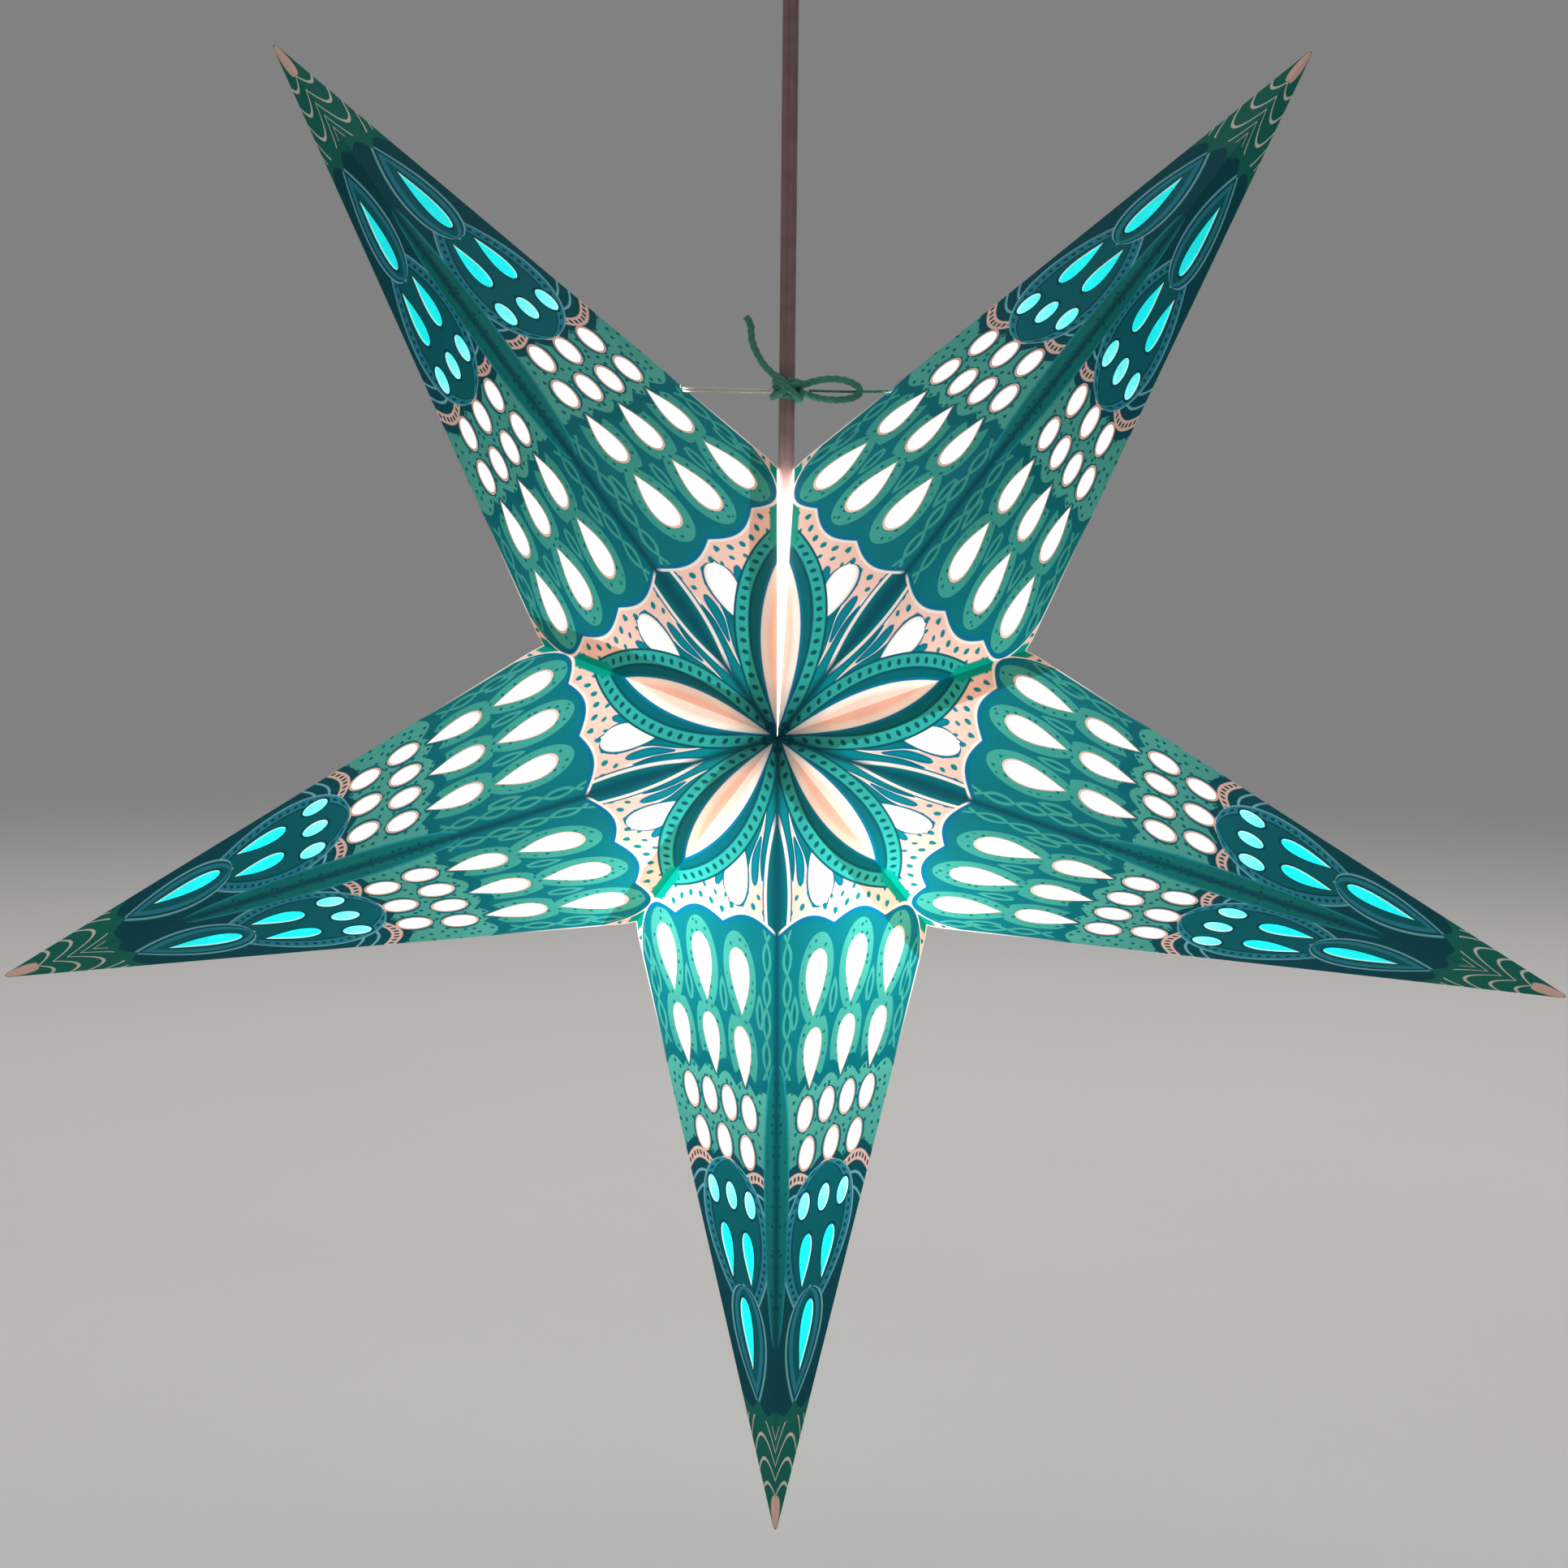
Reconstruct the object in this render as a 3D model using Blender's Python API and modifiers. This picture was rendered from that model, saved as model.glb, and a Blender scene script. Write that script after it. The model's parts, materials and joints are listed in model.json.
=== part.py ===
"""Five-pointed folding paper star lantern, hung on a flat twin flex from a small ceiling rose.

The frame is in metres: +Z is up, +X is to the right seen from the front, and the front faces -Y.
The origin is on the rose bracket's top face, where it meets the ceiling.
"""

import math

import bmesh
import bpy
from mathutils import Matrix, Vector

# Star: the creases' own corners
STAR_DROP = 0.340  # ceiling to the star's centre
TIP_RADIUS = 0.3155
NOTCH_RADIUS = 0.0953
HALF_DEPTH = 0.105  # star's centre to its front or back apex
CARD = 0.0005
TISSUE = 0.0002
CREASE_GAP = 0.0003
LINER_GAP = 0.0003
LINER_MARGIN = 0.005  # tissue's edge to the card's edge
LINER_TIP_CUT = 0.030  # tissue stops this far short of the tip

# Cut-outs: rows on arcs round the tip, each spread evenly from the ridge to the outer edge
RIDGE_MARGIN = 0.010
EDGE_MARGIN = 0.008
DROP_POINTS = 7
DROP_TAPER = 1.2  # how early a drop narrows towards its point
DROP_FULLNESS = 1.25  # widens a drop's round end, which the taper narrows
OVAL_POINTS = 6
CUT_ROWS = (
    # distance from the notch along the outer edge, count, length, width, shape
    (0.0125, 3, 0.024, 0.012, "drop"),
    (0.0425, 3, 0.022, 0.010, "drop"),
    (0.0645, 4, 0.012, 0.008, "oval"),
    (0.0815, 3, 0.012, 0.008, "oval"),
    (0.1035, 3, 0.011, 0.007, "oval"),
    (0.1275, 2, 0.022, 0.008, "drop"),
    (0.1605, 1, 0.030, 0.008, "drop"),
)

# Flat twin flex
CORD_WIDTH = 0.0060
CORD_THICKNESS = 0.0036
CORD_CLEARANCE = 0.0004

# Tie that closes the open seam at the top
TIE_HEIGHT = 0.0285  # knot above the top notch
TIE_HOLE = 0.0016
STRING_RADIUS = 0.0006
STRING_REACH = 0.004  # string's end inside the arm
TWINE_RADIUS = 0.0011
KNOT_WIDTH = 0.0155
KNOT_HEIGHT = 0.0090
LOOP_REACH = 0.0185
LOOP_HEIGHT = 0.0085
LOOP_SAG = 0.75  # the bow's lower strand hangs less than its upper one stands
TAIL_ROUTE = (  # loose end, from the top of the knot
    (-0.0050, 0.0000),
    (-0.0095, 0.0045),
    (-0.0130, 0.0115),
    (-0.0138, 0.0180),
    (-0.0158, 0.0215),
)

# Ceiling rose
BRACKET_LENGTH = 0.056
BRACKET_WIDTH = 0.018
BRACKET_SHEET = 0.002
BRACKET_EAR = 0.016
BRACKET_SLOT_SPACING = 0.036
BRACKET_SLOT_LENGTH = 0.009
BRACKET_SLOT_WIDTH = 0.0045
CUP_RADIUS = 0.032
CUP_DEPTH = 0.0355
CUP_WALL = 0.0015
CUP_ROUNDING = 0.007
CEILING_GAP = 0.0005
CUP_SCREW_DROP = 0.010
CUP_SCREW_RADIUS = 0.0015
CUP_SCREW_HEAD = 0.0030
CUP_SCREW_HEAD_HEIGHT = 0.0016
CUP_SCREW_HEAD_EDGE = 0.0007  # straight edge under the screw's domed head
CUP_SCREW_HEAD_FLAT = 0.0021
TERMINAL_SIZE = (0.022, 0.014, 0.010)
TERMINAL_ROUNDING = 0.0008
FIT = 0.0003  # clearance between pieces that seat on each other

# Cord grip, screwed through the cup's floor and held by a nut
GRIP_NECK_RADIUS = 0.0049
GRIP_NECK_LENGTH = 0.0065
GRIP_FLANGE_RADIUS = 0.0078
GRIP_FLANGE = 0.0028
GRIP_BODY_RADIUS = 0.0068
GRIP_LENGTH = 0.0140
GRIP_LIP = 0.0005
GRIP_MOUTH_RADIUS = 0.0058
GRIP_THROAT_DROP = 0.0045  # flange's top to the point where the cord bends
NUT_WIDTH = 0.0135
NUT_HEIGHT = 0.0040
CORD_TOP_RISE = 0.0012
CORD_BEND_GAP = 0.0008

# Lamp holder and bulb, heights counted from the star's centre
HOLDER_TOP = 0.058
HOLDER_RADIUS = 0.0118
HOLDER_WALL = 0.0020
HOLDER_CAP_HEIGHT = 0.0150
HOLDER_CAP_ROUNDING = 0.0060
HOLDER_BOTTOM = 0.0005
HOLDER_WEB_DROP = 0.0220
HOLDER_WEB = 0.0025
HOLDER_RIM = 0.0016
CORD_IN_HOLDER = 0.0060
SHELL_RADIUS = 0.0078
SHELL_WALL = 0.0005
CONTACT_SIZE = (0.0040, 0.0060, 0.0008)
BULB_CAP_RADIUS = 0.0068
BULB_CAP_LENGTH = 0.0240
BULB_FOOT_RADIUS = 0.0030
BULB_FOOT = 0.0025
BULB_RADIUS = 0.0225
BULB_NECK_RADIUS = 0.0105
BULB_NECK_DROP = 0.0016  # straight neck below the holder's mouth
BULB_CENTRE_DROP = 0.0300

BULB_RINGS = 8
ROUND_STEPS = 16
SMALL_STEPS = 12
HINGE_MARK = 0.01
ARM_COUNT = 5
ARMS = ("bottom", "right", "upper_right", "upper_left", "left")
ARM_TURNS = (0, 1, 2, -2, -1)

# Sizes that follow from the ones above
SEAM_ANGLE = 2 * math.asin((CORD_WIDTH / 2 + CORD_CLEARANCE) / NOTCH_RADIUS)
ARM_PITCH = (2 * math.pi - SEAM_ANGLE) / ARM_COUNT
STAR_CENTRE = Vector((0, 0, -STAR_DROP))
HOLDER_CORE = HOLDER_RADIUS - HOLDER_WALL
CUP_FLOOR = -CEILING_GAP - CUP_DEPTH
GRIP_TOP = CUP_FLOOR - FIT
GRIP_BORE = CORD_WIDTH / 2 + CORD_CLEARANCE
CORD_BEND = GRIP_TOP - GRIP_THROAT_DROP
CORD_TOP = CORD_BEND + CORD_TOP_RISE
KNOT_Z = STAR_CENTRE.z + NOTCH_RADIUS + TIE_HEIGHT

for old in list(bpy.data.objects):
    bpy.data.objects.remove(old, do_unlink=True)


def new_collection(name):
    """Add a collection to the scene."""
    collection = bpy.data.collections.new(name)
    bpy.context.scene.collection.children.link(collection)
    return collection


parts = new_collection("paper_star_lantern")
cutters = new_collection("cutters")


def finish(name, colour, roughness, metallic=0.0):
    """A plain Principled material for one kind of piece."""
    material = bpy.data.materials.new(name)
    material.use_nodes = True
    shader = material.node_tree.nodes["Principled BSDF"]
    shader.inputs["Base Color"].default_value = (*colour, 1.0)
    shader.inputs["Roughness"].default_value = roughness
    shader.inputs["Metallic"].default_value = metallic
    return material


PRINTED_CARD = finish("printed_card", (0.03, 0.33, 0.32), 0.65)
TISSUE_PAPER = finish("tissue_paper", (0.75, 0.93, 0.92), 0.8)
WHITE_PLASTIC = finish("white_plastic", (0.82, 0.80, 0.77), 0.45)
CORD_SHEATH = finish("cord_sheath", (0.45, 0.33, 0.32), 0.4)
ZINC_STEEL = finish("zinc_plated_steel", (0.62, 0.63, 0.65), 0.35, 1.0)
BRASS = finish("brass", (0.78, 0.57, 0.24), 0.35, 1.0)
OPAL_GLASS = finish("opal_bulb", (0.95, 0.92, 0.85), 0.3)
WHITE_STRING = finish("white_string", (0.72, 0.68, 0.64), 0.9)
TEAL_TWINE = finish("teal_twine", (0.06, 0.30, 0.24), 0.9)


def add_object(name, data, material, matrix=None, carrier=None):
    """Link a piece at a matrix, in the world or on the empty that carries it, with its material."""
    data.name = name
    piece = bpy.data.objects.new(name, data)
    data.materials.append(material)
    parts.objects.link(piece)
    piece.parent = carrier
    if matrix is not None:
        piece.matrix_basis = matrix
    return piece


def hinge_point(name, matrix):
    """An empty on a joint's axis, which carries the pieces that turn on it."""
    point = bpy.data.objects.new(name, None)
    point.empty_display_size = HINGE_MARK
    parts.objects.link(point)
    point.matrix_basis = matrix
    return point


def flat_piece(name, outlines, thickness, material, matrix, carrier=None):
    """A flat plate: the first outline is its rim, and the others are holes in it."""
    curve = bpy.data.curves.new(name, "CURVE")
    curve.dimensions = "2D"
    curve.fill_mode = "BOTH"
    curve.extrude = thickness / 2
    for outline in outlines:
        spline = curve.splines.new("POLY")
        spline.points.add(len(outline) - 1)
        for point, (x, y) in zip(spline.points, outline):
            point.co = (x, y, 0, 1)
        spline.use_cyclic_u = True
    return add_object(name, curve, material, matrix, carrier)


def block(name, size, material, place):
    """A rectangular block round its own middle."""
    mesh = bpy.data.meshes.new(name)
    build = bmesh.new()
    bmesh.ops.create_cube(build, size=1)
    bmesh.ops.scale(build, verts=build.verts[:], vec=size)
    build.to_mesh(mesh)
    build.free()
    return add_object(name, mesh, material, Matrix.Translation(place))


def prism(name, rim, depth):
    """A mesh of a flat rim of points, pulled out along a vector."""
    mesh = bpy.data.meshes.new(name)
    build = bmesh.new()
    build.faces.new([build.verts.new(point) for point in rim])
    grown = bmesh.ops.extrude_face_region(build, geom=build.faces[:])["geom"]
    pulled = [v for v in grown if isinstance(v, bmesh.types.BMVert)]
    bmesh.ops.translate(build, verts=pulled, vec=depth)
    bmesh.ops.recalc_face_normals(build, faces=build.faces[:])
    build.to_mesh(mesh)
    build.free()
    return mesh


def turned_piece(name, profile, material, place, steps=ROUND_STEPS):
    """A turned piece: a closed profile of (radius, height) spun round Z.

    Profile points on the axis stay open there, so the spin closes them in one point.
    """
    mesh = bpy.data.meshes.new(name)
    mesh.from_pydata(
        [(radius, 0, height) for radius, height in profile],
        [(i, i + 1) for i in range(len(profile) - 1)],
        [],
    )
    piece = add_object(name, mesh, material, Matrix.Translation(place))
    spin = piece.modifiers.new("spin", "SCREW")
    spin.steps = steps
    spin.render_steps = steps
    spin.use_merge_vertices = True
    spin.merge_threshold = 0.00001
    return piece


def ring_profile(points):
    """Close a turned profile that never meets the axis, so that it makes a tube or a shell."""
    return [*points, points[0]]


def round_tube(name, route, radius, material, matrix, carrier=None, cyclic=False):
    """A round string or twine along a hand-chosen route, smoothed by a Catmull-Rom curve."""
    curve = bpy.data.curves.new(name, "CURVE")
    curve.dimensions = "3D"
    curve.bevel_depth = radius
    curve.bevel_resolution = 1
    curve.use_fill_caps = not cyclic
    points = smooth_route([Vector(p) for p in route], cyclic)
    spline = curve.splines.new("POLY")
    spline.points.add(len(points) - 1)
    for point, at in zip(spline.points, points):
        point.co = (*at, 1)
    spline.use_cyclic_u = cyclic
    return add_object(name, curve, material, matrix, carrier)


def smooth_route(points, cyclic, steps=3):
    """Points along a Catmull-Rom curve through the route's own points."""
    if len(points) == 2:
        return points
    count = len(points)
    last = count if cyclic else count - 1
    smooth = []
    for i in range(last):
        before = points[(i - 1) % count] if cyclic or i else points[i]
        start, end = points[i], points[(i + 1) % count]
        after = points[(i + 2) % count] if cyclic or i + 2 < count else end
        for step in range(steps):
            t = step / steps
            smooth.append(
                0.5
                * (
                    2 * start
                    + (end - before) * t
                    + (2 * before - 5 * start + 4 * end - after) * t**2
                    + (3 * start - before - 3 * end + after) * t**3
                )
            )
    return smooth if cyclic else [*smooth, points[-1]]


def cut_away(piece, name, mesh):
    """Take a hidden cutter's shape out of a piece."""
    cutter = bpy.data.objects.new(name, mesh)
    cutters.objects.link(cutter)
    cutter.hide_render = True
    cutter.display_type = "WIRE"
    cut = piece.modifiers.new(name, "BOOLEAN")
    cut.operation = "DIFFERENCE"
    cut.object = cutter


def cut_hole(piece, name, radius, length, matrix):
    """Drill a round hole through a piece."""
    mesh = bpy.data.meshes.new(name)
    drill = bmesh.new()
    bmesh.ops.create_cone(
        drill,
        cap_ends=True,
        segments=SMALL_STEPS,
        radius1=radius,
        radius2=radius,
        depth=length,
        matrix=matrix,
    )
    drill.to_mesh(mesh)
    drill.free()
    cut_away(piece, name, mesh)


def polygon(radius, sides):
    """A regular outline round the origin."""
    angles = [2 * math.pi * i / sides for i in range(sides)]
    return [(radius * math.cos(a), radius * math.sin(a)) for a in angles]


def stadium(length, width, points=5):
    """An outline with two straight sides and half-round ends, its length along X."""
    radius = width / 2
    outline = []
    for side in (1, -1):
        for i in range(points):
            angle = side * math.pi / 2 * (2 * i / (points - 1) - 1)
            x = side * (length / 2 - radius) + side * radius * math.cos(angle)
            outline.append((x, side * radius * math.sin(side * angle)))
    return outline


# Ceiling rose: a U-shaped steel strap screwed to the ceiling, and a plastic cup over it
def rose_bracket():
    """The strap is bent down at both ends, with two slots for the ceiling screws."""
    half = BRACKET_LENGTH / 2
    strap = [
        (-half, 0),
        (half, 0),
        (half, -BRACKET_EAR),
        (half - BRACKET_SHEET, -BRACKET_EAR),
        (half - BRACKET_SHEET, -BRACKET_SHEET),
        (BRACKET_SHEET - half, -BRACKET_SHEET),
        (BRACKET_SHEET - half, -BRACKET_EAR),
        (-half, -BRACKET_EAR),
    ]
    rim = [(x, -BRACKET_WIDTH / 2, z) for x, z in strap]
    strap_mesh = prism("rose_bracket", rim, (0, BRACKET_WIDTH, 0))
    strap_piece = add_object("rose_bracket", strap_mesh, ZINC_STEEL)
    for side in (-1, 1):
        middle = side * BRACKET_SLOT_SPACING / 2
        deep = 2 * BRACKET_SHEET
        outline = stadium(BRACKET_SLOT_LENGTH, BRACKET_SLOT_WIDTH)
        slot_rim = [(middle + x, y, -deep) for x, y in outline]
        cut_away(strap_piece, "bracket_slot", prism("bracket_slot", slot_rim, (0, 0, 2 * deep)))
        cut_hole(
            strap_piece,
            "ear_hole",
            CUP_SCREW_RADIUS + FIT,
            4 * BRACKET_SHEET,
            Matrix.Translation((side * half, 0, -CUP_SCREW_DROP))
            @ Matrix.Rotation(math.pi / 2, 4, "Y"),
        )


def rose_cup():
    """A moulded cup with a rounded lower edge and a hole in its floor for the cord grip."""
    inner = CUP_RADIUS - CUP_WALL
    hole = GRIP_NECK_RADIUS + FIT
    rim = -CEILING_GAP
    turn = CUP_ROUNDING
    arc = [math.radians(angle) for angle in (0, 30, 60, 90)]
    outside = [
        (CUP_RADIUS - turn + turn * math.cos(a), CUP_FLOOR + turn - turn * math.sin(a)) for a in arc
    ]
    small = turn - CUP_WALL
    inside = [
        (inner - small + small * math.cos(a), CUP_FLOOR + turn - small * math.sin(a))
        for a in reversed(arc)
    ]
    profile = [
        (CUP_RADIUS, rim),
        *outside,
        (hole, CUP_FLOOR),
        (hole, CUP_FLOOR + CUP_WALL),
        *inside,
        (inner, rim),
    ]
    cup = turned_piece("rose_cup", ring_profile(profile), WHITE_PLASTIC, (0, 0, 0))
    for side in (-1, 1):
        cut_hole(
            cup,
            "cup_screw_hole",
            CUP_SCREW_RADIUS + FIT,
            6 * CUP_WALL,
            Matrix.Translation((side * CUP_RADIUS, 0, -CUP_SCREW_DROP))
            @ Matrix.Rotation(math.pi / 2, 4, "Y"),
        )


def cup_screws():
    """Two side screws clamp the cup on the strap's ears."""
    reach = CUP_RADIUS + FIT - (BRACKET_LENGTH / 2 - BRACKET_SHEET)
    profile = [
        (0, CUP_SCREW_HEAD_HEIGHT),
        (CUP_SCREW_HEAD_FLAT, CUP_SCREW_HEAD_HEIGHT),
        (CUP_SCREW_HEAD, CUP_SCREW_HEAD_EDGE),
        (CUP_SCREW_HEAD, 0),
        (CUP_SCREW_RADIUS, 0),
        (CUP_SCREW_RADIUS, -reach),
        (0, -reach),
    ]
    for side, name in ((-1, "cup_screw_left"), (1, "cup_screw_right")):
        place = (side * (CUP_RADIUS + FIT), 0, -CUP_SCREW_DROP)
        screw = turned_piece(name, profile, ZINC_STEEL, place, SMALL_STEPS)
        screw.rotation_euler = (0, side * math.pi / 2, 0)


def terminal_block():
    """A two-way connector block under the strap."""
    place = (0, 0, -BRACKET_SHEET - FIT - TERMINAL_SIZE[2] / 2)
    piece = block("terminal_block", TERMINAL_SIZE, WHITE_PLASTIC, place)
    edge = piece.modifiers.new("moulded_edges", "BEVEL")
    edge.width = TERMINAL_ROUNDING
    edge.segments = 1


def cord_grip():
    """A turned gland: a neck through the cup's floor, a flange under it and a flared mouth."""
    neck_top = GRIP_TOP + GRIP_NECK_LENGTH
    bottom = GRIP_TOP - GRIP_LENGTH
    profile = [
        (GRIP_NECK_RADIUS, neck_top),
        (GRIP_NECK_RADIUS, GRIP_TOP),
        (GRIP_FLANGE_RADIUS, GRIP_TOP),
        (GRIP_FLANGE_RADIUS, GRIP_TOP - GRIP_FLANGE),
        (GRIP_BODY_RADIUS, GRIP_TOP - GRIP_FLANGE),
        (GRIP_MOUTH_RADIUS + GRIP_LIP, bottom),
        (GRIP_MOUTH_RADIUS, bottom),
        (GRIP_BORE, CORD_BEND),
        (GRIP_BORE, neck_top),
    ]
    turned_piece("cord_grip", ring_profile(profile), WHITE_PLASTIC, (0, 0, 0))
    nut_bottom = CUP_FLOOR + CUP_WALL + FIT
    across = NUT_WIDTH / math.sqrt(3)
    bore = GRIP_NECK_RADIUS + FIT
    middle = Matrix.Translation((0, 0, nut_bottom + NUT_HEIGHT / 2))
    outlines = [polygon(across, 6), polygon(bore, SMALL_STEPS)]
    flat_piece("grip_nut", outlines, NUT_HEIGHT, ZINC_STEEL, middle)


# Flat twin flex: one stretch inside the rose, and the hanging stretch below its bend
def pendant_cord():
    """The flex is straight, because the star hangs on it."""
    outline = stadium(CORD_WIDTH, CORD_THICKNESS)
    tail_top = -BRACKET_SHEET - TERMINAL_SIZE[2] - 2 * FIT
    tail_bottom = CORD_TOP + CORD_BEND_GAP
    bottom = STAR_CENTRE.z + HOLDER_TOP - CORD_IN_HOLDER
    bend = hinge_point("cord_bend", Matrix.Translation((0, 0, CORD_BEND)))
    stretches = (
        ("cord_tail", tail_top, tail_bottom, None, 0),
        ("pendant_cord", CORD_TOP, bottom, bend, CORD_BEND),
    )
    for name, top, end, carrier, level in stretches:
        middle = Matrix.Translation((0, 0, (top + end) / 2 - level))
        flat_piece(name, [outline], top - end, CORD_SHEATH, middle, carrier)


# Lamp holder and bulb, hanging on the flex inside the star
def lamp_holder():
    """A slim plastic holder in two parts, with its screw shell and its centre contact."""
    hole = CORD_WIDTH / 2 + 2 * CORD_CLEARANCE
    top, rim = HOLDER_TOP, HOLDER_TOP - HOLDER_CAP_HEIGHT
    turn = HOLDER_CAP_ROUNDING
    small = turn - HOLDER_WALL
    shoulder = HOLDER_RADIUS - turn
    arc = [math.radians(angle) for angle in (90, 60, 30, 0)]
    outside = [(shoulder + turn * math.cos(a), top - turn + turn * math.sin(a)) for a in arc]
    inside = [
        (shoulder + small * math.cos(a), top - turn + small * math.sin(a)) for a in reversed(arc)
    ]
    cap = [
        (hole, top),
        *outside,
        (HOLDER_RADIUS, rim),
        (HOLDER_CORE, rim),
        *inside,
        (hole, top - HOLDER_WALL),
    ]
    turned_piece("holder_cap", ring_profile(cap), WHITE_PLASTIC, STAR_CENTRE)
    barrel_top = rim - FIT
    web_top = HOLDER_TOP - HOLDER_WEB_DROP
    web = web_top - HOLDER_WEB
    bore = SHELL_RADIUS + FIT
    barrel = [
        (0, web_top),
        (HOLDER_CORE, web_top),
        (HOLDER_CORE, barrel_top),
        (HOLDER_RADIUS, barrel_top),
        (HOLDER_RADIUS, HOLDER_BOTTOM + HOLDER_RIM),
        (HOLDER_RADIUS + HOLDER_RIM, HOLDER_BOTTOM + HOLDER_RIM),
        (HOLDER_RADIUS + HOLDER_RIM, HOLDER_BOTTOM),
        (bore, HOLDER_BOTTOM),
        (bore, web),
        (0, web),
    ]
    turned_piece("holder_barrel", barrel, WHITE_PLASTIC, STAR_CENTRE)
    shell_top = web - FIT
    shell_bottom = HOLDER_BOTTOM + HOLDER_RIM
    inner = SHELL_RADIUS - SHELL_WALL
    shell = [
        (SHELL_RADIUS, shell_top),
        (SHELL_RADIUS, shell_bottom),
        (inner, shell_bottom),
        (inner, shell_top),
    ]
    turned_piece("screw_shell", ring_profile(shell), BRASS, STAR_CENTRE)
    place = STAR_CENTRE + Vector((0, 0, web - FIT - CONTACT_SIZE[2] / 2))
    block("centre_contact", CONTACT_SIZE, BRASS, place)
    return web - 2 * FIT - CONTACT_SIZE[2]


def lamp_bulb(foot_top):
    """A small round opal bulb: its screw cap seats under the centre contact."""
    cap_top = foot_top - BULB_FOOT
    cap_bottom = foot_top - BULB_CAP_LENGTH
    cap = [
        (0, foot_top),
        (BULB_FOOT_RADIUS, foot_top),
        (BULB_CAP_RADIUS, cap_top),
        (BULB_CAP_RADIUS, cap_bottom),
        (0, cap_bottom),
    ]
    turned_piece("bulb_cap", cap, ZINC_STEEL, STAR_CENTRE)
    neck = cap_bottom - FIT
    blend = math.asin(BULB_NECK_RADIUS / BULB_RADIUS)
    throat = min(neck, HOLDER_BOTTOM) - BULB_NECK_DROP
    globe = [(0, neck), (BULB_CAP_RADIUS, neck), (BULB_CAP_RADIUS, throat)]
    for i in range(BULB_RINGS + 1):
        angle = blend + (math.pi - blend) * i / BULB_RINGS
        radius = BULB_RADIUS * math.sin(angle) if i < BULB_RINGS else 0
        globe.append((radius, BULB_RADIUS * math.cos(angle) - BULB_CENTRE_DROP))
    turned_piece("bulb_globe", globe, OPAL_GLASS, STAR_CENTRE)


# Star: four flat cards to an arm, joined at creases, each with tissue glued behind its cut-outs
def radial(azimuth):
    """Direction from the star's centre in its middle plane."""
    return Vector((math.cos(azimuth), 0, math.sin(azimuth)))


def cut_shape(kind, length, width):
    """A drop, pointed towards the tip, or an oval, its length along X."""
    if kind == "oval":
        angles = [2 * math.pi * (i + 0.5) / OVAL_POINTS for i in range(OVAL_POINTS)]
        return [(length / 2 * math.cos(a), width / 2 * math.sin(a)) for a in angles]
    angles = [2 * math.pi * i / DROP_POINTS for i in range(DROP_POINTS)]
    half = DROP_FULLNESS * width / 2
    return [(length / 2 * math.cos(a), half * math.sin(a) * math.sin(a / 2) ** DROP_TAPER) for a in angles]


def cut_outs(tip, notch):
    """Outlines of all cut-outs in a card, with the ridge along X and the apex at the origin."""
    tip_angle = math.atan2(notch.y, tip.x - notch.x)
    outlines = []
    for from_notch, count, length, width, kind in CUT_ROWS:
        distance = (tip - notch).length - from_notch
        first = RIDGE_MARGIN / distance
        spread = tip_angle - first - EDGE_MARGIN / distance
        for i in range(count):
            turn = -(first + spread * (i + 0.5) / count)
            along = Vector((math.cos(turn), math.sin(turn)))
            across = Vector((-along.y, along.x))
            middle = tip - distance * along
            shape = cut_shape(kind, length, width)
            outlines.append([tuple(middle + x * along + y * across) for x, y in shape])
    return outlines


def inset_triangle(corners, insets):
    """Move each side of a triangle inwards: side i runs from corner i to the next."""
    lines = []
    for i, inset in enumerate(insets):
        start, end = corners[i], corners[(i + 1) % 3]
        along = (end - start).normalized()
        inward = Vector((-along.y, along.x))
        lines.append((start + inset * inward, along))
    inner = []
    for i in range(3):
        (p, d), (q, e) = lines[i - 1], lines[i]
        reach = ((q - p).x * e.y - (q - p).y * e.x) / (d.x * e.y - d.y * e.x)
        inner.append(p + reach * d)
    return inner


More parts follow.
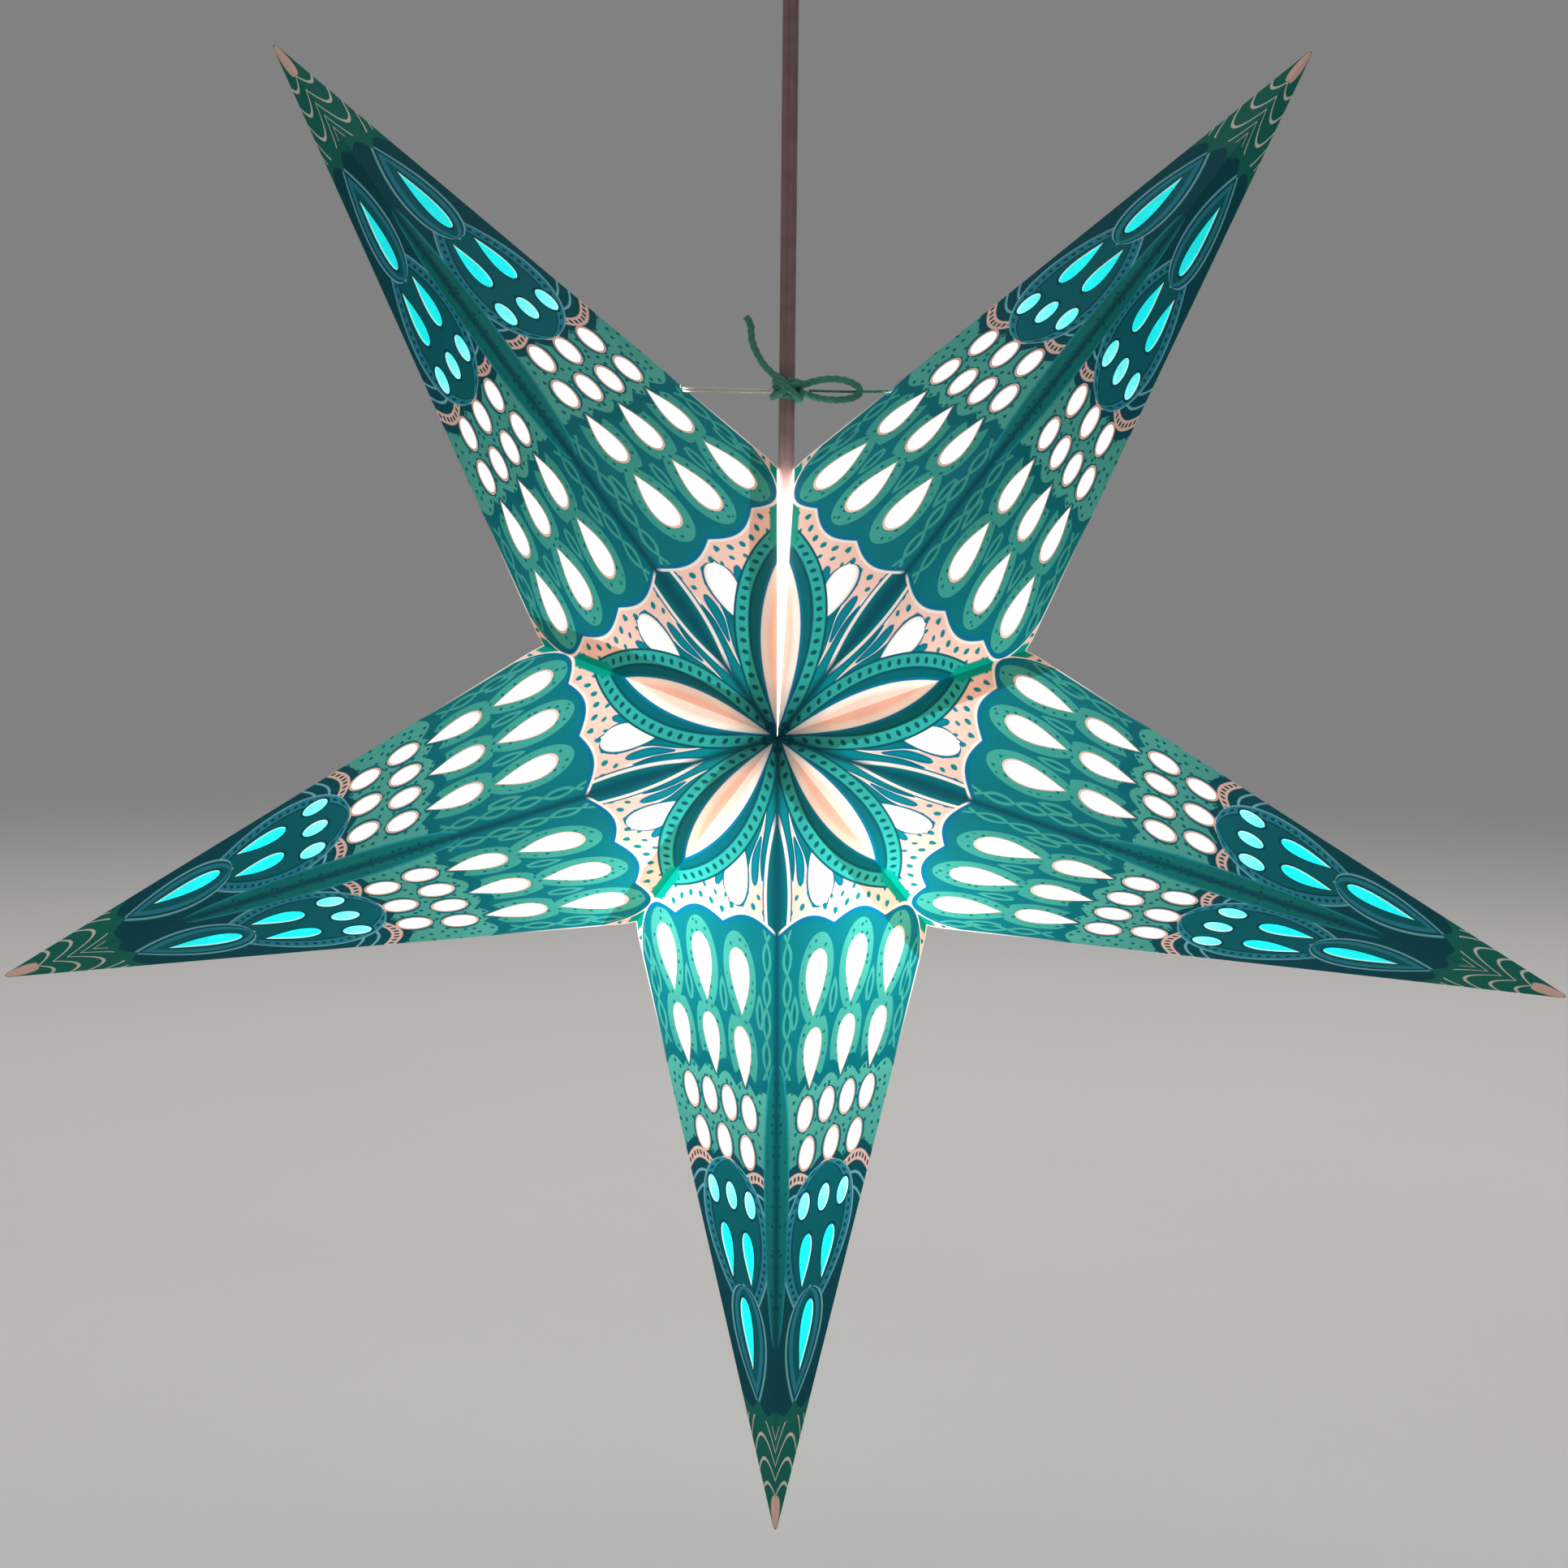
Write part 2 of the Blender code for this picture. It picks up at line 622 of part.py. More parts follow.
def star_card(arm, face, side, azimuth, hinge, at_seam):
    """One card and its tissue, with the origin on the crease that it turns on.

    face is -1 at the front and 1 at the back. side is 1 on the ridge's anticlockwise side seen from
    the front, which is called right, because it is on the right when the arm points down.
    """
    tip = STAR_CENTRE + TIP_RADIUS * radial(azimuth)
    notch = STAR_CENTRE + NOTCH_RADIUS * radial(azimuth + side * ARM_PITCH / 2)
    apex = STAR_CENTRE + Vector((0, face * HALF_DEPTH, 0))
    along = (tip - apex).normalized()
    across = (notch - apex) - (notch - apex).dot(along) * along
    across.normalize()
    normal = along.cross(across)
    outward = 1 if normal.y * face > 0 else -1
    tip_2d = Vector(((tip - apex).length, 0))
    notch_2d = Vector(((notch - apex).dot(along), (notch - apex).dot(across)))
    corners = [Vector((0, 0)), tip_2d, notch_2d]
    valley = radial(azimuth + side * ARM_PITCH / 2 + math.pi / 2)
    valley_setback = CARD * math.tan(math.asin(abs(normal.dot(valley)))) + CREASE_GAP
    rim = inset_triangle(corners, (CREASE_GAP, CREASE_GAP, valley_setback))
    if at_seam:
        rim[2:2] = tie_notch(rim[1], rim[2], notch_2d)
    origin, origin_2d = (tip, tip_2d) if hinge == "tip" else (notch, notch_2d)
    place = Matrix.Translation(origin) @ Matrix((along, across, normal)).transposed().to_4x4()
    name = f"{arm}_{'front' if face < 0 else 'back'}_{'left' if side < 0 else 'right'}"
    crease = hinge_point(f"crease_{name}", place)
    holes = cut_outs(tip_2d, notch_2d)
    outlines = [[(x - origin_2d.x, y - origin_2d.y) for x, y in line] for line in [rim, *holes]]
    lift = Matrix.Translation((0, 0, outward * CARD / 2))
    flat_piece(f"card_{name}", outlines, CARD, PRINTED_CARD, lift, crease)
    sheet = inset_triangle(corners, (LINER_MARGIN, LINER_MARGIN, LINER_MARGIN))
    cut = sheet[1] - Vector((LINER_TIP_CUT, 0))
    edge = sheet[2] - sheet[1]
    sheet[1:2] = [cut, sheet[1] + edge * (LINER_TIP_CUT / edge.length)]
    sunk = Matrix.Translation((0, 0, -outward * (LINER_GAP + TISSUE / 2)))
    liner = [(x - origin_2d.x, y - origin_2d.y) for x, y in sheet]
    flat_piece(f"liner_{name}", [liner], TISSUE, TISSUE_PAPER, sunk, crease)
    return crease


def tie_hole_distance():
    """How far up the arm's outer edge the tie's hole is from the notch."""
    seam_side = math.pi / 2 - SEAM_ANGLE / 2
    notch = NOTCH_RADIUS * radial(seam_side)
    tip = TIP_RADIUS * radial(seam_side - ARM_PITCH / 2)
    climb = (tip - notch).normalized().z
    return (NOTCH_RADIUS + TIE_HEIGHT - notch.z) / climb


def tie_notch(tip_corner, notch_corner, notch_2d):
    """Half of the round hole that the tie's string passes through, cut in the card's outer edge."""
    along = (notch_corner - tip_corner).normalized()
    inward = Vector((-along.y, along.x))
    middle = notch_corner + (notch_2d - notch_corner).dot(along) * along - tie_hole_distance() * along
    angles = [math.pi * (1 - i / 4) for i in range(5)]
    return [middle + TIE_HOLE * (math.cos(a) * along + math.sin(a) * inward) for a in angles]


def star_cards():
    """All arms, from the bottom one round to the open seam; gives the creases of its front cards."""
    seam = {}
    for arm, turns in zip(ARMS, ARM_TURNS):
        azimuth = turns * ARM_PITCH - math.pi / 2
        for face in (-1, 1):
            for side in (-1, 1):
                at_seam = abs(turns) == 2 and side * turns > 0
                ridge_hinge = turns == 0 or side * turns > 0
                hinge = "tip" if face < 0 and ridge_hinge else "notch"
                crease = star_card(arm, face, side, azimuth, hinge, at_seam)
                if at_seam and face < 0:
                    seam[side] = crease
    return seam


# Tie: a string through the two upper arms, knotted round the flex with a bow of teal twine
def tie(seam):
    """The knot sits on the flex, and the strings run out to the holes in the arms' edges."""
    place = Matrix.Translation((0, 0, KNOT_Z))
    seam_side = math.pi / 2 - SEAM_ANGLE / 2
    notch = NOTCH_RADIUS * radial(seam_side)
    tip = TIP_RADIUS * radial(seam_side - ARM_PITCH / 2)
    hole_x = (notch + tie_hole_distance() * (tip - notch).normalized()).x
    bore = CORD_WIDTH / 2 + CORD_CLEARANCE
    half, out = KNOT_HEIGHT / 2, KNOT_WIDTH / 2
    knot = [
        (bore, half),
        (out - half / 2, half),
        (out, half / 2),
        (out, -half / 2),
        (out - half / 2, -half),
        (bore, -half),
    ]
    turned_piece("tie_knot", ring_profile(knot), TEAL_TWINE, place.translation, SMALL_STEPS)
    start = out + FIT
    end = hole_x + STRING_REACH
    strings = (("tie_string_left", -1, WHITE_STRING), ("tie_string_right", 1, TEAL_TWINE))
    for name, side, material in strings:
        route = [(side * start, 0, 0), (side * end, 0, 0)]
        on_card = seam[side].matrix_basis.inverted() @ place
        round_tube(name, route, STRING_RADIUS, material, on_card, seam[side])
    near = start + TWINE_RADIUS
    far = near + LOOP_REACH
    front = -(STRING_RADIUS + TWINE_RADIUS + FIT)
    rise = LOOP_HEIGHT / 2
    middle = (near + far) / 2
    loop = [
        (near, front, 0),
        (middle, front, -LOOP_SAG * rise),
        (far - rise / 2, front, -LOOP_SAG * rise),
        (far, front, 0),
        (far - rise / 2, front, rise),
        (middle, front, rise),
    ]
    round_tube("tie_loop", loop, TWINE_RADIUS, TEAL_TWINE, place, cyclic=True)
    foot = half + FIT + TWINE_RADIUS
    tail = [(x, front, foot + z) for x, z in TAIL_ROUTE]
    round_tube("tie_tail", tail, TWINE_RADIUS, TEAL_TWINE, place)


rose_bracket()
rose_cup()
cup_screws()
terminal_block()
cord_grip()
pendant_cord()
lamp_bulb(lamp_holder())
tie(star_cards())
bpy.context.view_layer.update()
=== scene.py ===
import json
import math

import bmesh
import bpy
from mathutils import Matrix, Vector


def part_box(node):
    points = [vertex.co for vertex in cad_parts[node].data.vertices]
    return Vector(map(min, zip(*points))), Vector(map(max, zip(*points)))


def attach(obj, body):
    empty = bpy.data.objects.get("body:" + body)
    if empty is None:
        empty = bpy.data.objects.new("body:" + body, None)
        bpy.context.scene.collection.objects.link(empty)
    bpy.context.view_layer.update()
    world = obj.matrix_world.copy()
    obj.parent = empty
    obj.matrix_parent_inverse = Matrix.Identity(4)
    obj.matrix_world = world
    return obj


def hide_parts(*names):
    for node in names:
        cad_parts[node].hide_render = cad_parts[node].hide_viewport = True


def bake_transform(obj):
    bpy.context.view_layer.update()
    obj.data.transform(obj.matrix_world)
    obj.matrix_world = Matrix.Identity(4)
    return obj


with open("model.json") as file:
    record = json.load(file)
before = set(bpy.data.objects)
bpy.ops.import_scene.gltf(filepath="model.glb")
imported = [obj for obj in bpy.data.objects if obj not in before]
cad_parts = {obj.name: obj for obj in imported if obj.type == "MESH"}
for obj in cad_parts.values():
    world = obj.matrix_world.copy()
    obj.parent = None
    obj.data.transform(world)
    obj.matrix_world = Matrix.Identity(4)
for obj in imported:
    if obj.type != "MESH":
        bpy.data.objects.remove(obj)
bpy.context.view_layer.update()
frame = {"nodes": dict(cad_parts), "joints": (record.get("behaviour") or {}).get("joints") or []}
solids = frame["nodes"]
joints = {joint["name"]: joint for joint in frame["joints"]}


# Ceiling bracket: a strap of zinc-plated steel, bent down at both ends and screwed to the ceiling.
# It keeps its solid; the plating is a cool grey with fine rolling streaks and a faint straw bloom.
class Value:
    """A socket's value in a material: sums on it add Math nodes, and node() adds any other node."""

    def __init__(self, socket):
        self.socket = socket

    def node(self, kind, settings, inputs, output=0):
        """Add a node: its settings or a ramp's steps, then the numbers or links of its sockets."""
        tree = self.socket.id_data
        made = tree.nodes.new("ShaderNode" + kind)
        for name, setting in settings.items():
            if name == "steps":
                made.color_ramp.interpolation = "CONSTANT"
                elements = made.color_ramp.elements
                for _ in range(len(setting) - 2):
                    elements.new(1.0)
                for element, (position, colour) in zip(elements, setting):
                    element.position = position
                    element.color = colour
            else:
                setattr(made, name, setting)
        for place, value in inputs.items():
            if isinstance(value, Value):
                tree.links.new(value.socket, made.inputs[place])
            else:
                made.inputs[place].default_value = value
        return Value(made.outputs[output])

    def other(self, output):
        """Another output of the same node."""
        return Value(self.socket.node.outputs[output])

    def math(self, operation, *values, clamp=False):
        """A Math node on values, numbers or both."""
        settings = {"operation": operation, "use_clamp": clamp}
        return self.node("Math", settings, dict(enumerate(values)))

    def mix(self, first, second):
        """The first colour where this mask is 0, and the second where it is 1."""
        return self.node("Mix", {"data_type": "RGBA"}, {0: self, 6: first, 7: second}, 2)

    def __add__(self, other):
        return self.math("ADD", self, other)

    __radd__ = __add__

    def __sub__(self, other):
        return self.math("SUBTRACT", self, other)

    def __rsub__(self, other):
        return self.math("SUBTRACT", other, self)

    def __mul__(self, other):
        return self.math("MULTIPLY", self, other)

    __rmul__ = __mul__

    def __truediv__(self, other):
        return self.math("DIVIDE", self, other)

    def __rtruediv__(self, other):
        return self.math("DIVIDE", other, self)

    def __pow__(self, power):
        return self.math("POWER", self, power)

    def __abs__(self):
        return self.math("ABSOLUTE", self)


def shade(red, green, blue):
    """A screen colour, each part from 0 to 255, as the linear colour that a shader takes."""
    parts = [part / 255 for part in (red, green, blue)]
    linear = [p / 12.92 if p <= 0.04045 else ((p + 0.055) / 1.055) ** 2.4 for p in parts]
    return (*linear, 1.0)


def finish(name, constants):
    """A Principled material with its constant sockets set, and its Object coordinates."""
    material = bpy.data.materials.new(name)
    material.use_nodes = True
    shader = material.node_tree.nodes["Principled BSDF"]
    for socket, value in constants.items():
        shader.inputs[socket].default_value = value
    coordinates = material.node_tree.nodes.new("ShaderNodeTexCoord")
    return material, Value(coordinates.outputs["Object"])


def feed(material, socket, value):
    """Link a value to one of the shader's sockets."""
    shader = material.node_tree.nodes["Principled BSDF"]
    material.node_tree.links.new(value.socket, shader.inputs[socket])


def noise(place, scale, detail=3.0):
    """A cloudy value from 0 to 1; scale is its lumps to the metre."""
    return place.node("TexNoise", {}, {"Vector": place, "Scale": scale, "Detail": detail})


def bump(height, strength, depth):
    """A Normal from a height of 0 to 1 that stands depth metres deep."""
    return height.node("Bump", {}, {"Strength": strength, "Distance": depth, "Height": height})


def dress(node, material):
    """Give a solid that stays in view its finish."""
    solids[node].data.materials.clear()
    solids[node].data.materials.append(material)


ZINC_STREAKS = (60, 900, 60)
zinc, place = finish("zinc_plating", {"Metallic": 1.0})
stretched = place.node("Mapping", {}, {"Vector": place, "Scale": ZINC_STREAKS})
streaks = noise(stretched, 1.0, 4.0)
bloom = noise(place, 140)
zinc_colour = bloom.mix(shade(196, 198, 200), shade(205, 196, 168))
feed(zinc, "Base Color", streaks.mix(zinc_colour, shade(150, 152, 156)))
feed(zinc, "Roughness", 0.22 + streaks * 0.26)
feed(zinc, "Normal", bump(streaks, 0.35, 0.00005))
dress("rose_bracket", zinc)


# Ceiling cup: a moulded white plastic cup over the bracket, with a rounded lower edge and a thick rim.
# It is one turned shell, clamped on the bracket's ears by two side screws.
ARC_STEPS = 8
SHARP_ANGLE = 38
SOFT_EDGE = 0.0004  # rounding of moulded edges
ROUNDING_SHARE = 0.45  # of a profile's side, at most
MERGE_DISTANCE = 0.000001


def turned(profile, steps, matrix=Matrix()):
    """A bmesh of a profile of (radius, height) points spun round Z and then moved by a matrix."""
    build = bmesh.new()
    points = [build.verts.new((radius, 0, height)) for radius, height in profile]
    lines = [build.edges.new(pair) for pair in zip(points, points[1:])]
    bmesh.ops.spin(
        build,
        geom=points + lines,
        axis=(0, 0, 1),
        cent=(0, 0, 0),
        angle=2 * math.pi,
        steps=steps,
        use_merge=True,
    )
    bmesh.ops.remove_doubles(build, verts=build.verts[:], dist=MERGE_DISTANCE)
    bmesh.ops.recalc_face_normals(build, faces=build.faces[:])
    bmesh.ops.transform(build, matrix=matrix, verts=build.verts[:])
    return build


def rounded(profile, radius, closed=True, steps=4):
    """A profile with each corner rounded by up to a radius; a closed one ends where it starts."""
    points = [Vector(point) for point in profile]
    smooth = []
    for i, corner in enumerate(points):
        if not closed and i in (0, len(points) - 1):
            smooth.append(corner)
            continue
        before = points[i - 1] - corner
        after = points[(i + 1) % len(points)] - corner
        start = corner + before * min(radius / before.length, ROUNDING_SHARE)
        end = corner + after * min(radius / after.length, ROUNDING_SHARE)
        for step in range(steps + 1):
            t = step / steps
            smooth.append((1 - t) ** 2 * start + 2 * t * (1 - t) * corner + t**2 * end)
    return [*smooth, smooth[0]] if closed else smooth


def quarter(middle, radius, start, end):
    """Points of a quarter circle in a profile, from one angle to another in degrees."""
    angles = [math.radians(start + (end - start) * i / ARC_STEPS) for i in range(ARC_STEPS + 1)]
    return [(middle[0] + radius * math.cos(a), middle[1] + radius * math.sin(a)) for a in angles]


def add_piece(name, build, materials, slot, body, *replaced):
    """Make a bmesh a piece that rides on a body, stands for its solids and takes the given finishes; its
    slot is not used.
    """
    mesh = bpy.data.meshes.new(name)
    build.to_mesh(mesh)
    build.free()
    mesh.shade_smooth()
    mesh.set_sharp_from_angle(angle=math.radians(SHARP_ANGLE))
    for material in materials:
        mesh.materials.append(material)
    piece = bpy.data.objects.new(name, mesh)
    bpy.context.scene.collection.objects.link(piece)
    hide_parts(*replaced)
    if body:
        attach(piece, body)
    return piece


plastic, place = finish("white_moulded_plastic", {"IOR": 1.49})
haze = noise(place, 60, 5.0)
grain = noise(place, 2600, 2.0)
feed(plastic, "Base Color", haze.mix(shade(236, 233, 226), shade(224, 220, 210)))
feed(plastic, "Roughness", 0.34 + haze * 0.16)
feed(plastic, "Normal", bump(grain, 0.12, 0.00006))

CUP_WALL = 0.0015
CUP_ROUNDING = 0.007
RIM_BEAD = 0.0006
RIM_HEIGHT = 0.0030
RIM_SLOPE = 0.0012
NECK_HOLE = 0.0052
cup_low, cup_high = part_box("rose_cup")
cup_radius = cup_high.x - RIM_BEAD
cup_bend = (cup_radius - CUP_ROUNDING, cup_low.z + CUP_ROUNDING)
cup_profile = [
    (cup_radius + RIM_BEAD, cup_high.z),
    (cup_radius + RIM_BEAD, cup_high.z - RIM_HEIGHT),
    (cup_radius, cup_high.z - RIM_HEIGHT - RIM_SLOPE),
    *quarter(cup_bend, CUP_ROUNDING, 0, -90),
    (NECK_HOLE, cup_low.z),
    (NECK_HOLE, cup_low.z + CUP_WALL),
    *quarter(cup_bend, CUP_ROUNDING - CUP_WALL, -90, 0),
    (cup_radius - CUP_WALL, cup_high.z),
]
cup = turned(rounded(cup_profile, SOFT_EDGE, steps=2), steps=96)
add_piece("ceiling_cup", cup, [plastic], "white_plastic", "rose", "rose_cup")


# Cup screws: two slotted pan-head steel screws that pass through the cup into the bracket's ears.
# Each head is turned, and its driver slot is cut across the dome.
SLOT_WIDTH = 0.0007
SLOT_DEPTH = 0.0006
HEAD_RADIUS = 0.0030
HEAD_HEIGHT = 0.0016
HEAD_RIM = HEAD_HEIGHT * 0.45  # the head's height where its dome starts
SHANK_RADIUS = 0.0015
DOME_STEPS = 6


def points_of(extrusion):
    """The points that an extrusion made."""
    return [part for part in extrusion["geom"] if isinstance(part, bmesh.types.BMVert)]


for side, node in ((-1, "cup_screw_left"), (1, "cup_screw_right")):
    low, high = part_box(node)
    reach = high.x - low.x - HEAD_HEIGHT
    dome = []
    for step in range(DOME_STEPS + 1):
        angle = math.pi / 2 * step / DOME_STEPS
        rise = (HEAD_HEIGHT - HEAD_RIM) * math.cos(angle)
        dome.append((HEAD_RADIUS * math.sin(angle), HEAD_RIM + rise))
    profile = [*dome, (HEAD_RADIUS, 0), (SHANK_RADIUS, 0), (SHANK_RADIUS, -reach), (0, -reach)]
    screw = turned(profile, steps=32)
    for edge in (-SLOT_WIDTH / 2, SLOT_WIDTH / 2):
        every = screw.verts[:] + screw.edges[:] + screw.faces[:]
        bmesh.ops.bisect_plane(screw, geom=every, plane_co=(0, edge, 0), plane_no=(0, 1, 0))
    slot = []
    for face in screw.faces:
        spot = face.calc_center_median()
        if abs(spot.y) < SLOT_WIDTH / 2 and spot.z > HEAD_RIM:
            slot.append(face)
    floor = points_of(bmesh.ops.extrude_face_region(screw, geom=slot))
    bmesh.ops.delete(screw, geom=slot, context="FACES")
    bmesh.ops.translate(screw, verts=floor, vec=(0, 0, -SLOT_DEPTH))
    seat = (low + high) / 2
    seat.x = (high.x - HEAD_HEIGHT) if side > 0 else (low.x + HEAD_HEIGHT)
    turn = Matrix.Rotation(side * math.pi / 2, 4, "Y")
    bmesh.ops.transform(screw, matrix=Matrix.Translation(seat) @ turn, verts=screw.verts[:])
    bmesh.ops.recalc_face_normals(screw, faces=screw.faces[:])
    add_piece(f"{node}_slotted", screw, [zinc], "zinc_steel", "rose", node)


# Terminal block: two moulded barrels with wire holes, joined by a web, under the bracket's strap.
# It is the same white plastic as the cup.
WIRE_HOLE = 0.0022
WEB_SHARE = 0.7  # of the barrels' length
WEB_BEVEL = 0.0005
BARREL_ROUNDING = 0.0006


def join(build, other):
    """Move another bmesh into this one."""
    mesh = bpy.data.meshes.new("joined")
    other.to_mesh(mesh)
    other.free()
    build.from_mesh(mesh)
    bpy.data.meshes.remove(mesh)


block_low, block_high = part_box("terminal_block")
block_size = block_high - block_low
block_middle = (block_low + block_high) / 2
barrel_radius = block_size.z / 2
web_size = (block_size.x / 2, block_size.y * WEB_SHARE, block_size.z / 2)
terminal = bmesh.new()
bmesh.ops.create_cube(terminal, size=1)
bmesh.ops.scale(terminal, verts=terminal.verts[:], vec=web_size)
bmesh.ops.translate(terminal, verts=terminal.verts[:], vec=block_middle)
bmesh.ops.bevel(
    terminal,
    geom=terminal.edges[:],
    offset=WEB_BEVEL,
    segments=2,
    profile=0.5,
    affect="EDGES",
    material=-1,
)
for side in (-1, 1):
    half = block_size.y / 2
    barrel = [(WIRE_HOLE, half), (barrel_radius, half), (barrel_radius, -half), (WIRE_HOLE, -half)]
    lie = Matrix.Translation(block_middle + Vector((side * (block_size.x / 2 - barrel_radius), 0, 0)))
    lie = lie @ Matrix.Rotation(math.pi / 2, 4, "X")
    join(terminal, turned(rounded(barrel, BARREL_ROUNDING), steps=32, matrix=lie))
add_piece("terminal_barrels", terminal, [plastic], "white_plastic", "rose", "terminal_block")


# Cord grip: a moulded gland through the cup's floor, fluted for the fingers, with a flared mouth.
# A steel nut inside the cup holds it; the nut keeps its solid.
FLUTES = 18
FLUTE_DEPTH = 0.00035
FLUTE_MARGIN = 0.0004
FLANGE_RADIUS = 0.0078
FLANGE_HEIGHT = 0.0028
BODY_RADIUS = 0.0068
BODY_DRAFT = 0.0001
BODY_DROP = 0.004
GRIP_BORE = 0.0034
GRIP_PLAY = 0.0003
GRIP_ROUNDING = 0.0005
MOUTH_RADIUS = 0.0058
MOUTH_LIP = 0.0005
grip_low, grip_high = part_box("cord_grip")
cord_bend = Vector(joints["cord_sway"]["pos_m"])
flange_top = cup_low.z - GRIP_PLAY
flange_low = flange_top - FLANGE_HEIGHT
grip_profile = [
    (NECK_HOLE - GRIP_PLAY, grip_high.z),
    (NECK_HOLE - GRIP_PLAY, flange_top),
    (FLANGE_RADIUS, flange_top),
    (FLANGE_RADIUS, flange_low),
    (BODY_RADIUS, flange_low),
    (BODY_RADIUS - BODY_DRAFT, flange_low - BODY_DROP),
    (MOUTH_RADIUS + MOUTH_LIP, grip_low.z),
    (MOUTH_RADIUS, grip_low.z),
    (GRIP_BORE, cord_bend.z),
    (GRIP_BORE, grip_high.z),
]
grip = turned(rounded(grip_profile, GRIP_ROUNDING, steps=3), steps=FLUTES * 4)
for vertex in grip.verts:
    radius = math.hypot(vertex.co.x, vertex.co.y)
    if vertex.co.z < flange_low - FLUTE_MARGIN and radius > MOUTH_RADIUS + FLUTE_MARGIN:
        wave = math.cos(FLUTES * math.atan2(vertex.co.y, vertex.co.x))
        vertex.co.xy *= 1 - FLUTE_DEPTH / radius * (0.5 - 0.5 * wave)
add_piece("fluted_cord_grip", grip, [plastic], "white_plastic", "rose", "cord_grip")
dress("grip_nut", zinc)


# Flat twin flex: two insulated cores side by side in one dusky mauve sheath, with a groove between them.
# It hangs straight under the star's weight, and the lamp inside the star lights its lower end.
FLEX_WIDTH = 0.0060
FLEX_THICKNESS = 0.0036
FLEX_RINGS = 60
TAIL_RINGS = 12
CORE_STEPS = 18
CORE_SHOWN = 0.94  # share of each core's round that the groove leaves in view
FLEX_PORE = 1500


def swept(outline, frames):
    """A closed tube: a flat outline carried from frame to frame, with its ends filled."""
    build = bmesh.new()
    rim = [build.verts.new(frames[0] @ Vector((x, y, 0))) for x, y in outline]
    edges = [build.edges.new((rim[i - 1], rim[i])) for i in range(len(rim))]
    for here, there in zip(frames, frames[1:]):
        grown = bmesh.ops.extrude_edge_only(build, edges=edges)
        lines = [part for part in grown["geom"] if isinstance(part, bmesh.types.BMEdge)]
        edges = [line for line in lines if line.is_boundary]
        bmesh.ops.transform(build, matrix=there @ here.inverted(), verts=points_of(grown))
    bmesh.ops.holes_fill(build, edges=build.edges[:], sides=0)
    bmesh.ops.recalc_face_normals(build, faces=build.faces[:])
    return build


def twin_outline():
    """Two round cores that run into each other, as the flex's cut end shows them."""
    core = FLEX_THICKNESS / 2
    spacing = FLEX_WIDTH / 2 - core
    meet = math.acos(-spacing / core) * CORE_SHOWN
    outline = []
    for side in (1, -1):
        for step in range(CORE_STEPS + 1):
            angle = meet * (2 * step / CORE_STEPS - 1)
            outline.append((side * (spacing + core * math.cos(angle)), side * core * math.sin(angle)))
    return outline


def straight_down(top, bottom, rings):
    """Frames down the flex's line."""
    return [Matrix.Translation((0, 0, top + (bottom - top) * i / rings)) for i in range(rings + 1)]


LAMP = Vector((0, 0, -0.370))
GLOW_CENTRE = LAMP - Vector((0, 0, 0.012))  # the holder shades the globe's upper side
GLOW_UNIT = 0.10  # the distance from the lamp that the glow is reckoned in
GLOW_PEAK = 0.98
GLOW_SOFTNESS = 0.15
GLOW_LEAST = 0.08
EMISSION = 3.0


def distance(place, point):
    """How far a place is from a point, in metres."""
    return place.node("VectorMath", {"operation": "DISTANCE"}, {0: place, 1: point}, 1)


def lamp_glow(place):
    """How brightly the lamp lights paper at a place, as a share of the materials' emission strength."""
    apart = distance(place, GLOW_CENTRE) / GLOW_UNIT
    return (GLOW_PEAK / (apart * apart + GLOW_SOFTNESS) + GLOW_LEAST) / EMISSION


LIT_SLOPE = -16.0  # the lit end starts 0.22 m down, and is fully lit 0.06 m further on
LIT_START = -3.5
LIT_FLARE = 0.06
sheath, place = finish("mauve_flex_sheath", {"Emission Strength": EMISSION})
height = place.node("SeparateXYZ", {}, {0: place}, 2)
scuffs = noise(place, 180, 4.0)
lit = height.math("MULTIPLY_ADD", height, LIT_SLOPE, LIT_START, clamp=True)
sheath_colour = lit.mix(shade(150, 118, 116), shade(172, 138, 136))
feed(sheath, "Base Color", scuffs.mix(sheath_colour, shade(112, 86, 88)))
feed(sheath, "Roughness", 0.34 + scuffs * 0.2)
feed(sheath, "Normal", bump(noise(place, FLEX_PORE, 2.0), 0.15, 0.00008))
flare = lit * lit * LIT_FLARE
feed(sheath, "Emission Color", flare.mix((0, 0, 0, 1), shade(255, 236, 230)))

tail_low, tail_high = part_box("cord_tail")
tail = swept(twin_outline(), straight_down(tail_high.z, tail_low.z, TAIL_RINGS))
add_piece("flex_in_cup", tail, [sheath], "cord_sheath", "rose", "cord_tail")
cord_low, cord_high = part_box("pendant_cord")
route = straight_down(cord_high.z, cord_low.z, FLEX_RINGS)
flex = swept(twin_outline(), route)
flex = add_piece("pendant_flex", flex, [sheath], "cord_sheath", None, "pendant_cord")
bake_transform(flex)


# Lamp holder: a slim white plastic cap and barrel, screwed together on the flex's end inside the star.
# The screw shell and the centre contact in it are brass, and keep their solids.
HOLDER_WALL = 0.0020
CAP_BORE = 0.0038
CAP_ROUNDING = 0.0060
HOLDER_RIM = 0.0016
SHELL_BORE = 0.0083
WEB_DROP = 0.0070
WEB = 0.0025
cap_low, cap_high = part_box("holder_cap")
cap_radius = cap_high.x
core = cap_radius - HOLDER_WALL
